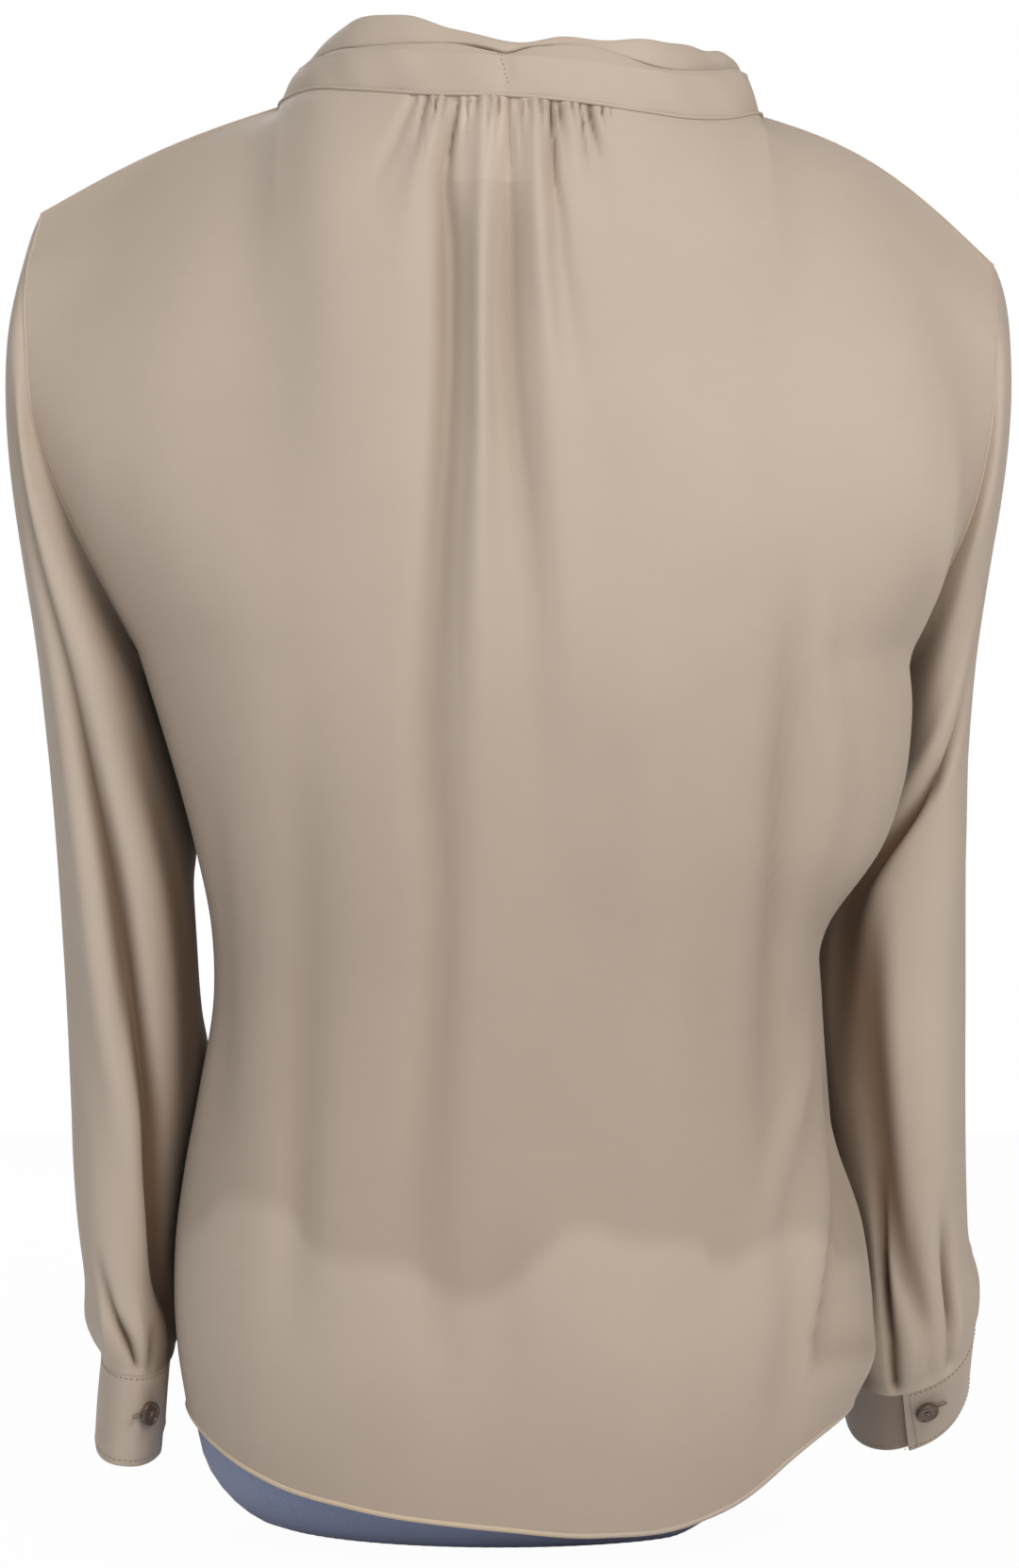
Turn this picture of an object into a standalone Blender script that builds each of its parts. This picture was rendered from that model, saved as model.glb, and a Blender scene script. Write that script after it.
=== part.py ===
"""A pull-on blouse with long sleeves, worn by a limbless dress form. Metres, +Z up.

The origin is the centre of the form's flat base. The blouse's front faces -Y and its back +Y, and the
wearer's left is +X. Each cut piece is a wall of cloth, worked out from a smooth surface and its folds.
"""

import math

import bmesh
import bpy
import numpy as np

# Cloth and seams
CLOTH = 0.0014
CUFF_CLOTH = 0.0018
SEAM_GAP = 0.0003
HALF_GAP = SEAM_GAP / 2
LEFT, RIGHT = 1, -1
BACK, FRONT = 1, -1

# The body: heights of its landmarks and the roundness of its sections
CHEST_Z = 0.412
ROUNDNESS = 2.35
TUCK_FROM = 0.80 * math.pi

# The neckline
NECK_LEFT, NECK_RIGHT = 0.107, 0.120
NECK_BACK_Y = 0.085
V_POINT_Y, V_POINT_Z = -0.120, 0.500
NECK_GATHERS = 20
GATHERS_LEFT, GATHERS_RIGHT = 0.043, -0.050
GATHER_DEPTH = 0.0016
GATHER_LENGTH = 0.017
ARRIVAL_SLOPES = {BACK: (74, 12, 26), FRONT: (62, 12, 26)}
SHOULDER_BOW = {LEFT: 0.002, RIGHT: 0.0095}

# Cuffs and their buttons
CUFF_HEIGHT = 0.044
CUFF_LAP_FROM = {LEFT: 158.0, RIGHT: 106.0}
CUFF_LAP = 36.0
CUFF_SWING = {LEFT: 0.004, RIGHT: 0.0}
BUTTON_RADIUS = 0.00575
BUTTON_THICKNESS = 0.0024

# How far the mesh is divided
SHOULDER_COLUMNS = 6
NECK_SIDE_COLUMNS = 4
GATHERED_COLUMNS = 18
GATHER_SPLITS = 4
SLEEVE_SIDES = 24
FORM_SIDES = 28


def table(columns, rows):
    """A small table as one array for each named column."""
    return {name: np.array([row[i] for row in rows], float) for i, name in enumerate(columns)}


def read(values, column, at):
    """One column of a table at a place along its first column, on a smooth curve through the rows."""
    keys = next(iter(values.values()))
    heights = values[column]
    if keys[0] > keys[-1]:
        keys, heights = keys[::-1], heights[::-1]
    at = min(max(at, keys[0]), keys[-1])
    i = int(min(max(np.searchsorted(keys, at) - 1, 0), len(keys) - 2))
    slopes = np.gradient(heights, keys)
    step = keys[i + 1] - keys[i]
    return hermite(heights[i], heights[i + 1], slopes[i] * step, slopes[i + 1] * step, (at - keys[i]) / step)


def hermite(start, end, start_pull, end_pull, t):
    """A cubic from start to end that leaves and arrives along the two pulls."""
    s = 1 - t
    return (
        start * (1 + 2 * t) * s * s
        + end * (3 - 2 * t) * t * t
        + start_pull * t * s * s
        - end_pull * t * t * s
    )


def ease(t):
    """0 below 0, 1 above 1, and smooth between."""
    t = min(max(t, 0.0), 1.0)
    return t * t * (3 - 2 * t)


def bell(offset, width):
    return math.exp(-((offset / width) ** 2))


def unit(vector):
    return vector / max(np.linalg.norm(vector), 1e-12)


# Horizontal sections of the body, hem to chest. right is the widest reach of the back panel on that side,
# and tuck is how far the side seam lies inside it.
BODY = table(
    ("z", "left", "right", "tuck", "back", "front"),
    (
        (0.012, 0.1420, 0.150, 0.010, 0.1170, -0.1160),
        (0.060, 0.1505, 0.172, 0.015, 0.1195, -0.1190),
        (0.085, 0.1545, 0.179, 0.020, 0.1205, -0.1205),
        (0.135, 0.1555, 0.170, 0.014, 0.1215, -0.1220),
        (0.170, 0.1510, 0.162, 0.008, 0.1195, -0.1220),
        (0.205, 0.1445, 0.153, 0.002, 0.1140, -0.1210),
        (0.250, 0.1375, 0.148, 0.000, 0.1085, -0.1210),
        (0.280, 0.1385, 0.156, 0.009, 0.1075, -0.1220),
        (0.320, 0.1465, 0.184, 0.028, 0.1090, -0.1260),
        (0.350, 0.1545, 0.193, 0.030, 0.1105, -0.1290),
        (0.380, 0.1635, 0.200, 0.030, 0.1125, -0.1320),
        (0.412, 0.1735, 0.211, 0.030, 0.1145, -0.1350),
    ),
)

# The hem's height across the body: a curved shirt tail, low at the middle.
HEM = table(
    ("x", "z"),
    (
        (-0.180, 0.074),
        (-0.163, 0.067),
        (-0.150, 0.057),
        (-0.139, 0.047),
        (-0.118, 0.027),
        (-0.098, 0.018),
        (-0.050, 0.013),
        (0.000, 0.016),
        (0.074, 0.025),
        (0.112, 0.034),
        (0.137, 0.047),
        (0.155, 0.062),
    ),
)
FRONT_HEM_RISE = 0.012

# Each armhole seam from the underarm (way 0) to the shoulder tip (way 1), on the back and on the front.
ARMHOLE_COLUMNS = ("way", "x", "y", "z")
ARMHOLES = {
    (LEFT, BACK): table(
        ARMHOLE_COLUMNS,
        (
            (0.00, 0.1735, 0.000, 0.412),
            (0.15, 0.1870, 0.020, 0.440),
            (0.35, 0.2040, 0.034, 0.476),
            (0.55, 0.2180, 0.039, 0.513),
            (0.75, 0.2230, 0.034, 0.553),
            (0.90, 0.2240, 0.020, 0.588),
            (1.00, 0.2190, 0.000, 0.614),
        ),
    ),
    (LEFT, FRONT): table(
        ARMHOLE_COLUMNS,
        (
            (0.00, 0.1735, 0.000, 0.412),
            (0.15, 0.1810, -0.024, 0.436),
            (0.35, 0.1930, -0.042, 0.472),
            (0.55, 0.2080, -0.048, 0.511),
            (0.75, 0.2180, -0.042, 0.552),
            (0.90, 0.2225, -0.024, 0.588),
            (1.00, 0.2190, 0.000, 0.614),
        ),
    ),
    (RIGHT, BACK): table(
        ARMHOLE_COLUMNS,
        (
            (0.00, -0.1810, 0.000, 0.412),
            (0.15, -0.1970, 0.024, 0.436),
            (0.35, -0.2120, 0.042, 0.466),
            (0.55, -0.2210, 0.046, 0.499),
            (0.75, -0.2260, 0.040, 0.536),
            (0.90, -0.2280, 0.024, 0.568),
            (1.00, -0.2290, 0.000, 0.594),
        ),
    ),
    (RIGHT, FRONT): table(
        ARMHOLE_COLUMNS,
        (
            (0.00, -0.1810, 0.000, 0.412),
            (0.15, -0.1880, -0.024, 0.434),
            (0.35, -0.2000, -0.042, 0.465),
            (0.55, -0.2150, -0.048, 0.500),
            (0.75, -0.2220, -0.042, 0.537),
            (0.90, -0.2270, -0.024, 0.569),
            (1.00, -0.2290, 0.000, 0.594),
        ),
    ),
}

# The height of the back neck seam across the neck.
NECK_SEAM = table(
    ("x", "z"),
    (
        (-0.120, 0.6635),
        (-0.105, 0.6570),
        (-0.086, 0.6540),
        (-0.064, 0.6550),
        (-0.035, 0.6580),
        (0.000, 0.6605),
        (0.035, 0.6620),
        (0.070, 0.6665),
        (0.090, 0.6695),
        (0.107, 0.6680),
    ),
)

# Long soft folds of the back: a ridge has a positive depth and a trough a negative one.
FOLD_COLUMNS = ("x_top", "x_low", "z_top", "z_low", "width", "depth")
BACK_FOLDS = (
    (0.0275, 0.036, 0.662, 0.560, 0.0050, 0.0026),
    (0.0235, 0.020, 0.658, 0.120, 0.0075, -0.0050),
    (0.0035, 0.006, 0.662, 0.200, 0.0085, 0.0046),
    (-0.0080, -0.016, 0.658, 0.240, 0.0070, -0.0046),
    (-0.0215, -0.036, 0.662, 0.400, 0.0085, 0.0036),
    (-0.0345, -0.052, 0.658, 0.500, 0.0060, -0.0026),
    (0.0280, 0.030, 0.520, 0.110, 0.0160, -0.0030),
    (-0.1280, -0.146, 0.260, 0.060, 0.0110, -0.0050),
    (0.1150, 0.100, 0.420, 0.140, 0.0200, -0.0030),
    (-0.0900, -0.080, 0.300, 0.040, 0.0220, -0.0025),
)
FRONT_FOLDS = (
    (0.0600, 0.046, 0.560, 0.120, 0.0150, -0.0050),
    (0.0300, 0.018, 0.470, 0.200, 0.0130, 0.0035),
    (-0.0150, -0.008, 0.480, 0.060, 0.0140, -0.0045),
    (-0.0700, -0.050, 0.560, 0.160, 0.0160, -0.0050),
    (0.1080, 0.095, 0.420, 0.080, 0.0180, -0.0040),
    (-0.1100, -0.095, 0.420, 0.060, 0.0180, -0.0040),
)

# Sleeve rings from below the underarm to the cuff. outer and inner are distances from the body's middle.
SLEEVE_COLUMNS = ("z", "outer", "inner", "y", "half_depth", "tilt")
SLEEVES = {
    LEFT: table(
        SLEEVE_COLUMNS,
        (
            (0.395, 0.2195, 0.1730, -0.006, 0.055, 0),
            (0.350, 0.2150, 0.1610, -0.008, 0.056, 0),
            (0.300, 0.2114, 0.1480, -0.010, 0.057, 0),
            (0.250, 0.2088, 0.1450, -0.011, 0.056, 0),
            (0.200, 0.2066, 0.1480, -0.011, 0.054, 0),
            (0.160, 0.2045, 0.1555, -0.010, 0.052, 2),
            (0.125, 0.2005, 0.1590, -0.010, 0.050, 5),
            (0.098, 0.1955, 0.1585, -0.010, 0.048, 8),
            (0.076, 0.1910, 0.1575, -0.010, 0.046, 9),
        ),
    ),
    RIGHT: table(
        SLEEVE_COLUMNS,
        (
            (0.395, 0.2215, 0.1895, -0.022, 0.048, 0),
            (0.350, 0.2190, 0.1810, -0.024, 0.049, 0),
            (0.300, 0.2190, 0.1580, -0.025, 0.050, 0),
            (0.250, 0.2190, 0.1525, -0.026, 0.050, 0),
            (0.200, 0.2190, 0.1550, -0.027, 0.049, 4),
            (0.160, 0.2195, 0.1585, -0.029, 0.047, 12),
            (0.130, 0.2205, 0.1605, -0.030, 0.044, 22),
            (0.107, 0.2225, 0.1615, -0.030, 0.040, 34),
            (0.086, 0.2240, 0.1635, -0.030, 0.037, 42),
        ),
    ),
}
SLEEVE_ROUNDNESS = 2.3

# The long fold of each sleeve, which winds from the outer edge at the top to the inner edge at the cuff.
SLEEVE_FOLDS = {
    LEFT: table(
        ("z", "angle", "depth", "width"),
        (
            (0.52, 12, 0.000, 18),
            (0.40, 35, 0.004, 18),
            (0.30, 62, 0.008, 18),
            (0.20, 98, 0.008, 18),
            (0.12, 130, 0.005, 16),
            (0.076, 145, 0.000, 14),
        ),
    ),
    RIGHT: table(
        ("z", "angle", "depth", "width"),
        (
            (0.50, 20, 0.000, 18),
            (0.40, 42, 0.003, 18),
            (0.30, 92, 0.007, 18),
            (0.20, 100, 0.008, 18),
            (0.13, 74, 0.004, 16),
            (0.086, 62, 0.000, 14),
        ),
    ),
}

# The collar round the neckline: place 0 is centre back, 0.5 a shoulder and 1 the point of the V.
COLLAR_COLUMNS = ("place", "stand", "roll", "lean")
COLLAR = table(
    COLLAR_COLUMNS,
    (
        (-0.985, 0.0030, 0.0020, 0.10),
        (-0.900, 0.0100, 0.0050, 0.14),
        (-0.800, 0.0170, 0.0080, 0.20),
        (-0.650, 0.0200, 0.0110, 0.32),
        (-0.500, 0.0190, 0.0105, 0.40),
        (-0.350, 0.0205, 0.0150, 0.32),
        (-0.200, 0.0200, 0.0155, 0.22),
        (-0.080, 0.0190, 0.0125, 0.20),
        (0.000, 0.0185, 0.0065, 0.20),
        (0.080, 0.0190, 0.0130, 0.20),
        (0.170, 0.0195, 0.0185, 0.24),
        (0.260, 0.0180, 0.0165, 0.34),
        (0.360, 0.0160, 0.0120, 0.50),
        (0.500, 0.0180, 0.0100, 0.66),
        (0.650, 0.0200, 0.0100, 0.45),
        (0.800, 0.0170, 0.0080, 0.20),
        (0.900, 0.0100, 0.0050, 0.14),
        (0.985, 0.0030, 0.0020, 0.10),
    ),
)
COLLAR_END = 0.975
ROLL_END = 0.95
ROLL_HALF_THICKNESS = 0.0024
ROLL_SIDES = 8

# The blank label sewn in behind the back neck
LABEL_LEFT, LABEL_RIGHT = 0.0236, -0.0116
LABEL_THICKNESS = 0.001
LABEL_GAP = 0.0004
LABEL_DEPTHS = (0.0006, 0.004, 0.012, 0.022, 0.034)
LABEL_TOP_SHARE = 0.45
LABEL_COLUMNS = 7

# The dress form, base to neck
FORM = table(
    ("z", "half_width", "back", "front", "shift"),
    (
        (0.0000, 0.1030, 0.0780, -0.0780, 0.003),
        (0.0050, 0.1150, 0.0880, -0.0880, 0.003),
        (0.0120, 0.1255, 0.0960, -0.0950, 0.003),
        (0.0270, 0.1380, 0.1050, -0.1030, 0.003),
        (0.0430, 0.1436, 0.1085, -0.1070, 0.002),
        (0.0700, 0.1466, 0.1105, -0.1090, 0.002),
        (0.1000, 0.1470, 0.1110, -0.1100, 0.002),
        (0.1400, 0.1420, 0.1080, -0.1080, 0.002),
        (0.1900, 0.1250, 0.0960, -0.1000, 0.001),
        (0.2500, 0.1110, 0.0860, -0.0950, 0.000),
        (0.3100, 0.1170, 0.0880, -0.1020, 0.000),
        (0.3700, 0.1330, 0.0940, -0.1130, 0.000),
        (0.4300, 0.1480, 0.0980, -0.1190, 0.000),
        (0.4800, 0.1570, 0.0980, -0.1140, 0.000),
        (0.5300, 0.1680, 0.0940, -0.0980, 0.000),
        (0.5700, 0.1760, 0.0820, -0.0780, 0.000),
        (0.6000, 0.1760, 0.0660, -0.0580, 0.000),
        (0.6200, 0.1660, 0.0540, -0.0460, 0.000),
        (0.6396, 0.1440, 0.0380, -0.0350, 0.000),
        (0.6516, 0.1225, 0.0350, -0.0330, 0.000),
        (0.6585, 0.1040, 0.0370, -0.0340, 0.000),
        (0.6630, 0.0800, 0.0410, -0.0340, 0.000),
        (0.6680, 0.0620, 0.0430, -0.0340, 0.000),
        (0.6740, 0.0550, 0.0400, -0.0310, 0.000),
    ),
)
FORM_ROUNDNESS = 2.15


def material(name, colour, roughness):
    made = bpy.data.materials.new(name)
    made.use_nodes = True
    shader = made.node_tree.nodes["Principled BSDF"]
    shader.inputs["Base Color"].default_value = (*colour, 1)
    shader.inputs["Roughness"].default_value = roughness
    shader.inputs["Metallic"].default_value = 0
    return made


def add_object(name, mesh_maker, finish):
    """A closed solid, its faces turned outwards, as a smooth-shaded object."""
    if mesh_maker.calc_volume(signed=True) < 0:
        bmesh.ops.reverse_faces(mesh_maker, faces=mesh_maker.faces)
    mesh = bpy.data.meshes.new(name)
    mesh_maker.to_mesh(mesh)
    mesh_maker.free()
    mesh.materials.append(finish)
    mesh.shade_smooth()
    mesh.set_sharp_from_angle(angle=math.radians(40))
    made = bpy.data.objects.new(name, mesh)
    bpy.context.collection.objects.link(made)
    return made


def triangles(face, points):
    """A face as triangles: a quad along its shorter diagonal, and a wider face as a fan."""
    if len(face) == 4:
        a, b, c, d = (points[i] for i in face)
        if np.linalg.norm(a - c) > np.linalg.norm(b - d):
            face = face[1:] + face[:1]
    return [[face[0], face[i], face[i + 1]] for i in range(1, len(face) - 1)]


def cloth_wall(name, outer, inner, faces, finish):
    """The wall between an outer and an inner sheet, closed by a rim along every edge.

    Both sheets have the same triangles, so the wall is never crossed where it bends.
    """
    maker = bmesh.new()
    outside = [maker.verts.new(point) for point in outer]
    inside = [maker.verts.new(point) for point in inner]
    edges = {}
    for face in faces:
        for triangle in triangles(face, outer):
            maker.faces.new([outside[i] for i in triangle])
            maker.faces.new([inside[i] for i in reversed(triangle)])
        for a, b in zip(face, face[1:] + face[:1]):
            edges.setdefault(frozenset((a, b)), []).append((a, b))
    for uses in edges.values():
        if len(uses) == 1:
            a, b = uses[0]
            maker.faces.new([outside[b], outside[a], inside[a], inside[b]])
    return add_object(name, maker, finish)


def grid_faces(rows, columns, around=False):
    """The quads of a grid of points in rows. around joins the last column to the first."""
    faces = []
    for row in range(rows - 1):
        for column in range(columns if around else columns - 1):
            after = (column + 1) % columns
            low, high = row * columns, (row + 1) * columns
            faces.append([low + column, low + after, high + after, high + column])
    return faces


def grid_normals(grid, around=False):
    """Unit normals of a smooth grid of points, pointing along its columns' direction crossed with its rows'."""
    if around:
        wrapped = np.concatenate([grid[:, -1:], grid, grid[:, :1]], axis=1)
        across = (wrapped[:, 2:] - wrapped[:, :-2]) / 2
    else:
        across = np.gradient(grid, axis=1)
    up = np.gradient(grid, axis=0)
    normals = np.cross(across, up)
    return normals / np.linalg.norm(normals, axis=2, keepdims=True)


def neckline(place):
    """A point of the neck seam: 0 is centre back, +-0.5 the shoulders and +-1 the point of the V."""
    width = NECK_LEFT if place >= 0 else -NECK_RIGHT
    if abs(place) <= 0.5:
        x = width * math.sin(math.pi * abs(place))
        return np.array([x, NECK_BACK_Y * math.cos(math.pi * place), read(NECK_SEAM, "z", x)])
    down = min((abs(place) - 0.5) * 2, 1)
    top = read(NECK_SEAM, "z", width)
    return np.array(
        [
            width * (1 - down**1.35),
            V_POINT_Y * (1 - (1 - down) ** 1.6),
            top + (V_POINT_Z - top) * down**1.2,
        ]
    )


def body_section(angle, z, side):
    """A point of the body at a height: angle 0 is the left side seam and pi the right one."""
    toward = math.cos(angle)
    tuck = read(BODY, "tuck", z)
    right = read(BODY, "right", z)
    if side == BACK:
        x = (read(BODY, "left", z) if toward > 0 else -right) * abs(toward) ** (2 / ROUNDNESS)
        x += tuck * ease((angle - TUCK_FROM) / (math.pi - TUCK_FROM))
    else:
        x = (read(BODY, "left", z) if toward > 0 else tuck - right) * abs(toward) ** (2 / ROUNDNESS)
    depth = read(BODY, "back" if side == BACK else "front", z)
    return np.array([x, depth * max(math.sin(angle), 0.0) ** (2 / ROUNDNESS), z])


def top_edge(column, side):
    """Where a column ends: on the shoulder seam for |column| from 1 to 2, on the neckline below 1."""
    hand = LEFT if column >= 0 else RIGHT
    if abs(column) <= 1:
        place = column / 2 if side == BACK else hand * (1 - abs(column) / 2)
        return neckline(place)
    tip = ARMHOLES[hand, side]
    tip = np.array([tip["x"][-1], tip["y"][-1], tip["z"][-1]])
    along = abs(column) - 1
    bow = np.array([0, 0, SHOULDER_BOW[hand] * math.sin(math.pi * along)])
    return neckline(hand * 0.5) * (1 - along) + tip * along + bow


def column_angle(column):
    """The place of a column round the body, from its place along the top edge."""
    hand = LEFT if column >= 0 else RIGHT
    span = abs(ARMHOLES[hand, BACK]["x"][-1])
    neck = math.asin((NECK_LEFT if hand == LEFT else NECK_RIGHT) / span)
    if abs(column) <= 1:
        turn = neck * abs(column)
    else:
        turn = neck + (math.pi / 2 - neck) * (abs(column) - 1)
    return math.pi / 2 - hand * turn


def arrival(column, side):
    """The direction in which the cloth meets its top edge, from its slopes at three places along that edge."""
    middle, corner, tip = ARRIVAL_SLOPES[side]
    slope = middle + (corner - middle) * ease(abs(column)) + (tip - corner) * ease(abs(column) - 1)
    return np.array([0, -side * math.cos(math.radians(slope)), math.sin(math.radians(slope))])


def upper_point(column, way, side):
    """The yoke of a panel: from the chest section (way 0) to the shoulder seam or the neckline (way 1)."""
    angle = column_angle(column)
    start = body_section(angle, CHEST_Z, side)
    below = body_section(angle, CHEST_Z - 0.01, side)
    end = top_edge(column, side)
    length = np.linalg.norm(end - start)
    point = hermite(start, end, (start - below) * length / 0.01, arrival(column, side) * length * 0.8, way)
    hand = LEFT if column >= 0 else RIGHT
    near_edge = ease((abs(column) - 0.9) / 1.1)
    if near_edge > 0:
        seam = np.array([read(ARMHOLES[hand, side], axis, way) for axis in "xyz"])
        point = point + near_edge * (seam - edge_curve(hand, way, side))
    return point


def edge_curve(hand, way, side):
    """The plain cubic of a panel's outermost column, which the armhole seam takes the place of."""
    angle = column_angle(2 * hand)
    start = body_section(angle, CHEST_Z, side)
    below = body_section(angle, CHEST_Z - 0.01, side)
    end = top_edge(2 * hand, side)
    length = np.linalg.norm(end - start)
    pull = arrival(2 * hand, side) * length * 0.8
    return hermite(start, end, (start - below) * length / 0.01, pull, way)


def hem_height(angle, side):
    x = body_section(angle, 0.06, side)[0]
    rise = FRONT_HEM_RISE * math.sin(angle) if side == FRONT else 0
    return read(HEM, "z", x) + rise


def panel_point(column, row, side):
    """A panel's smooth surface: row -1 is the hem, 0 the chest and 1 the top edge."""
    if row >= 0:
        return upper_point(column, row, side)
    angle = column_angle(column)
    hem = hem_height(angle, side)
    return body_section(angle, hem + (CHEST_Z - hem) * (1 + row), side)


def long_folds(point, folds):
    """How far the long folds push the cloth out at a point."""
    x, _, z = point
    push = 0.0
    for x_top, x_low, z_top, z_low, width, depth in folds:
        down = (z_top - z) / (z_top - z_low)
        if -0.05 < down < 1:
            spread = width * (1 + 0.6 * max(down, 0))
            fade = ease(down * 12 + 0.6) * ease((1 - down) * 3)
            push += depth * fade * bell(x - (x_top + (x_low - x_top) * max(down, 0)), spread)
    return push


def gathers(point):
    """The small gathers under the back neck seam, uneven in width and length."""
    x, y, z = point
    along = (GATHERS_LEFT - x) / (GATHERS_LEFT - GATHERS_RIGHT) * NECK_GATHERS
    if y < 0 or not 0 < along < NECK_GATHERS:
        return 0.0
    below = read(NECK_SEAM, "z", x) - z
    length = GATHER_LENGTH * (1 + 0.5 * math.sin(1.9 * round(along)))
    wave = math.cos(2 * math.pi * (along + 0.12 * math.sin(2.3 * along)))
    ends = ease(along) * ease(NECK_GATHERS - along)
    return -GATHER_DEPTH * 0.5 * (1 - wave) * ends * math.exp(-((max(below, 0) / length) ** 2))


def seam_place(column, side):
    """The place round the neckline where a column of a panel ends."""
    if side == BACK:
        return column / 2
    return (LEFT if column >= 0 else RIGHT) * (1 - abs(column) / 2)


def panel_rim(column, row, side, normal):
    """The wall's direction at a panel's edges, turned so that neighbouring walls meet squarely.

    The point of the V keeps the direction that its two sides share.
    """
    if row >= 1 and abs(column) <= 1 and (column or side == BACK):
        turned = collar_frame(seam_place(column, side))[2]
    elif row >= 1 or abs(column) >= 2 and row <= 0:
        turned = normal.copy()
    else:
        return normal * CLOTH
    if abs(column) >= 1:
        turned[1] = 0
    turned = unit(turned)
    return turned * CLOTH / max(float(turned @ normal), 0.5)


def panel_columns():
    """Column places from the left seam to the right one, closest together under the gathers."""
    half = np.arcsin(np.array([GATHERS_LEFT / NECK_LEFT, -GATHERS_RIGHT / NECK_RIGHT])) * 2 / math.pi
    shoulder = np.linspace(2, 1, SHOULDER_COLUMNS + 1)
    beside_left = np.linspace(1, half[0], NECK_SIDE_COLUMNS + 1)
    gathered = np.linspace(half[0], -half[1], GATHERED_COLUMNS + 1)
    beside_right = np.linspace(-half[1], -1, NECK_SIDE_COLUMNS + 1)
    first = SHOULDER_COLUMNS + NECK_SIDE_COLUMNS
    places = [*shoulder, *beside_left[1:], *gathered[1:], *beside_right[1:], *-shoulder[::-1][1:]]
    return places, range(first, first + GATHERED_COLUMNS)


BACK_ROWS = (-1, -0.97, -0.88, -0.78, -0.67, -0.56, -0.45, -0.34, -0.23, -0.12)
BACK_ROWS += (0, 0.14, 0.28, 0.42, 0.56, 0.69, 0.80, 0.88, 0.93, 0.965, 0.985, 1)
GATHERED_ROW = BACK_ROWS.index(0.88)
FRONT_ROWS = (-1, -0.97, -0.86, -0.73, -0.59, -0.44, -0.29, -0.14, 0, 0.16, 0.33, 0.5, 0.68, 0.85, 1)
V_COLUMNS = 7
SLOPE_STEP = 0.01
SEAM_FLATTENING = 0.3


def front_columns():
    """Column places of the front, with one at each shoulder's neck end and one at the point of the V."""
    half = [*np.linspace(2, 1, SHOULDER_COLUMNS + 1), *np.linspace(1, 0, V_COLUMNS + 1)[1:-1]]
    half += [2 * (1 - COLLAR_END), 0]
    return [*half, *[-place for place in half[-2::-1]]]


def panel_sample(column, row, side, folds):
    """The outer and inner points of a panel's wall at one place."""
    point = panel_point(column, row, side)
    inward = -SLOPE_STEP if column >= 0 else SLOPE_STEP
    upward = SLOPE_STEP if row < 0.5 else -SLOPE_STEP
    across = (panel_point(column + inward, row, side) - point) * (-1 if column < 0 else 1)
    up = (panel_point(column, row + upward, side) - point) * (1 if row < 0.5 else -1)
    normal = unit(np.cross(across, up)) * side
    push = long_folds(point, folds) + (gathers(point) if side == BACK else 0)
    push *= ease((2 - abs(column)) / 0.4)
    if row >= 1 and abs(column) <= 1:
        flattened = push * SEAM_FLATTENING if side == BACK else 0
        outer = point + collar_frame(seam_place(column, side))[2] * flattened
    else:
        outer = point + normal * push
    if abs(column) >= 2 and row <= 0 or row >= 1 and abs(column) >= 1:
        outer[1] = point[1] + side * HALF_GAP
    return outer, outer - panel_rim(column, row, side, normal)


def build_back(finish):
    """The back: a grid whose columns split in four near the neck seam, where the gathers are."""
    columns, gathered = panel_columns()
    samples, index = [], {}

    def corner(row, column, part=0):
        key = (row, column, part)
        if key not in index:
            index[key] = len(samples)
            place = columns[column]
            if part:
                place += (columns[column + 1] - place) * part / GATHER_SPLITS
            samples.append(panel_sample(place, BACK_ROWS[row], BACK, BACK_FOLDS))
        return index[key]

    faces = []
    for row in range(len(BACK_ROWS) - 1):
        for column in range(len(columns) - 1):
            split = column in gathered
            if split and row >= GATHERED_ROW:
                for part in range(GATHER_SPLITS):
                    after = (column, part + 1) if part + 1 < GATHER_SPLITS else (column + 1, 0)
                    faces.append(
                        [corner(row, column, part), corner(row, *after), corner(row + 1, *after)]
                        + [corner(row + 1, column, part)]
                    )
                continue
            face = [corner(row, column), corner(row, column + 1), corner(row + 1, column + 1)]
            if split and row == GATHERED_ROW - 1:
                face += [corner(row + 1, column, part) for part in range(GATHER_SPLITS - 1, 0, -1)]
            faces.append(face + [corner(row + 1, column)])
    outer, inner = zip(*samples)
    return cloth_wall("back", outer, inner, faces, finish)


def build_front(finish):
    """The front, cut in one piece with a V neck."""
    columns = front_columns()
    samples = [panel_sample(column, row, FRONT, FRONT_FOLDS) for row in FRONT_ROWS for column in columns]
    outer, inner = zip(*samples)
    return cloth_wall("front", outer, inner, grid_faces(len(FRONT_ROWS), len(columns)), finish)


def superellipse(angle, roundness):
    c, s = math.cos(angle), math.sin(angle)
    power = 2 / roundness
    return math.copysign(abs(c) ** power, c), math.copysign(abs(s) ** power, s)


def sleeve_ring(hand, z, angle, down=0.0):
    """A point of a sleeve's ring: angle 0 is its outer side, 90 degrees its back and 180 its inner side."""
    rings = SLEEVES[hand]
    outer, inner = read(rings, "outer", z), read(rings, "inner", z)
    tilt = math.radians(read(rings, "tilt", z))
    out, back = superellipse(angle, SLEEVE_ROUNDNESS)
    depth = back * read(rings, "half_depth", z)
    return np.array(
        [
            hand * ((outer + inner) / 2 + out * (outer - inner) / 2),
            read(rings, "y", z) + depth * math.cos(tilt) - down * math.sin(tilt),
            z - depth * math.sin(tilt) - down * math.cos(tilt),
        ]
    )


def armhole_point(hand, angle):
    """The armhole seam at a sleeve's angle: the shoulder tip at 0, the underarm at 180 degrees."""
    side = BACK if math.sin(angle) >= 0 else FRONT
    way = 1 - math.acos(max(-1, min(1, math.cos(angle)))) / math.pi
    armhole = ARMHOLES[hand, side]
    return np.array([read(armhole, axis, way) for axis in "xyz"])


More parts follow.
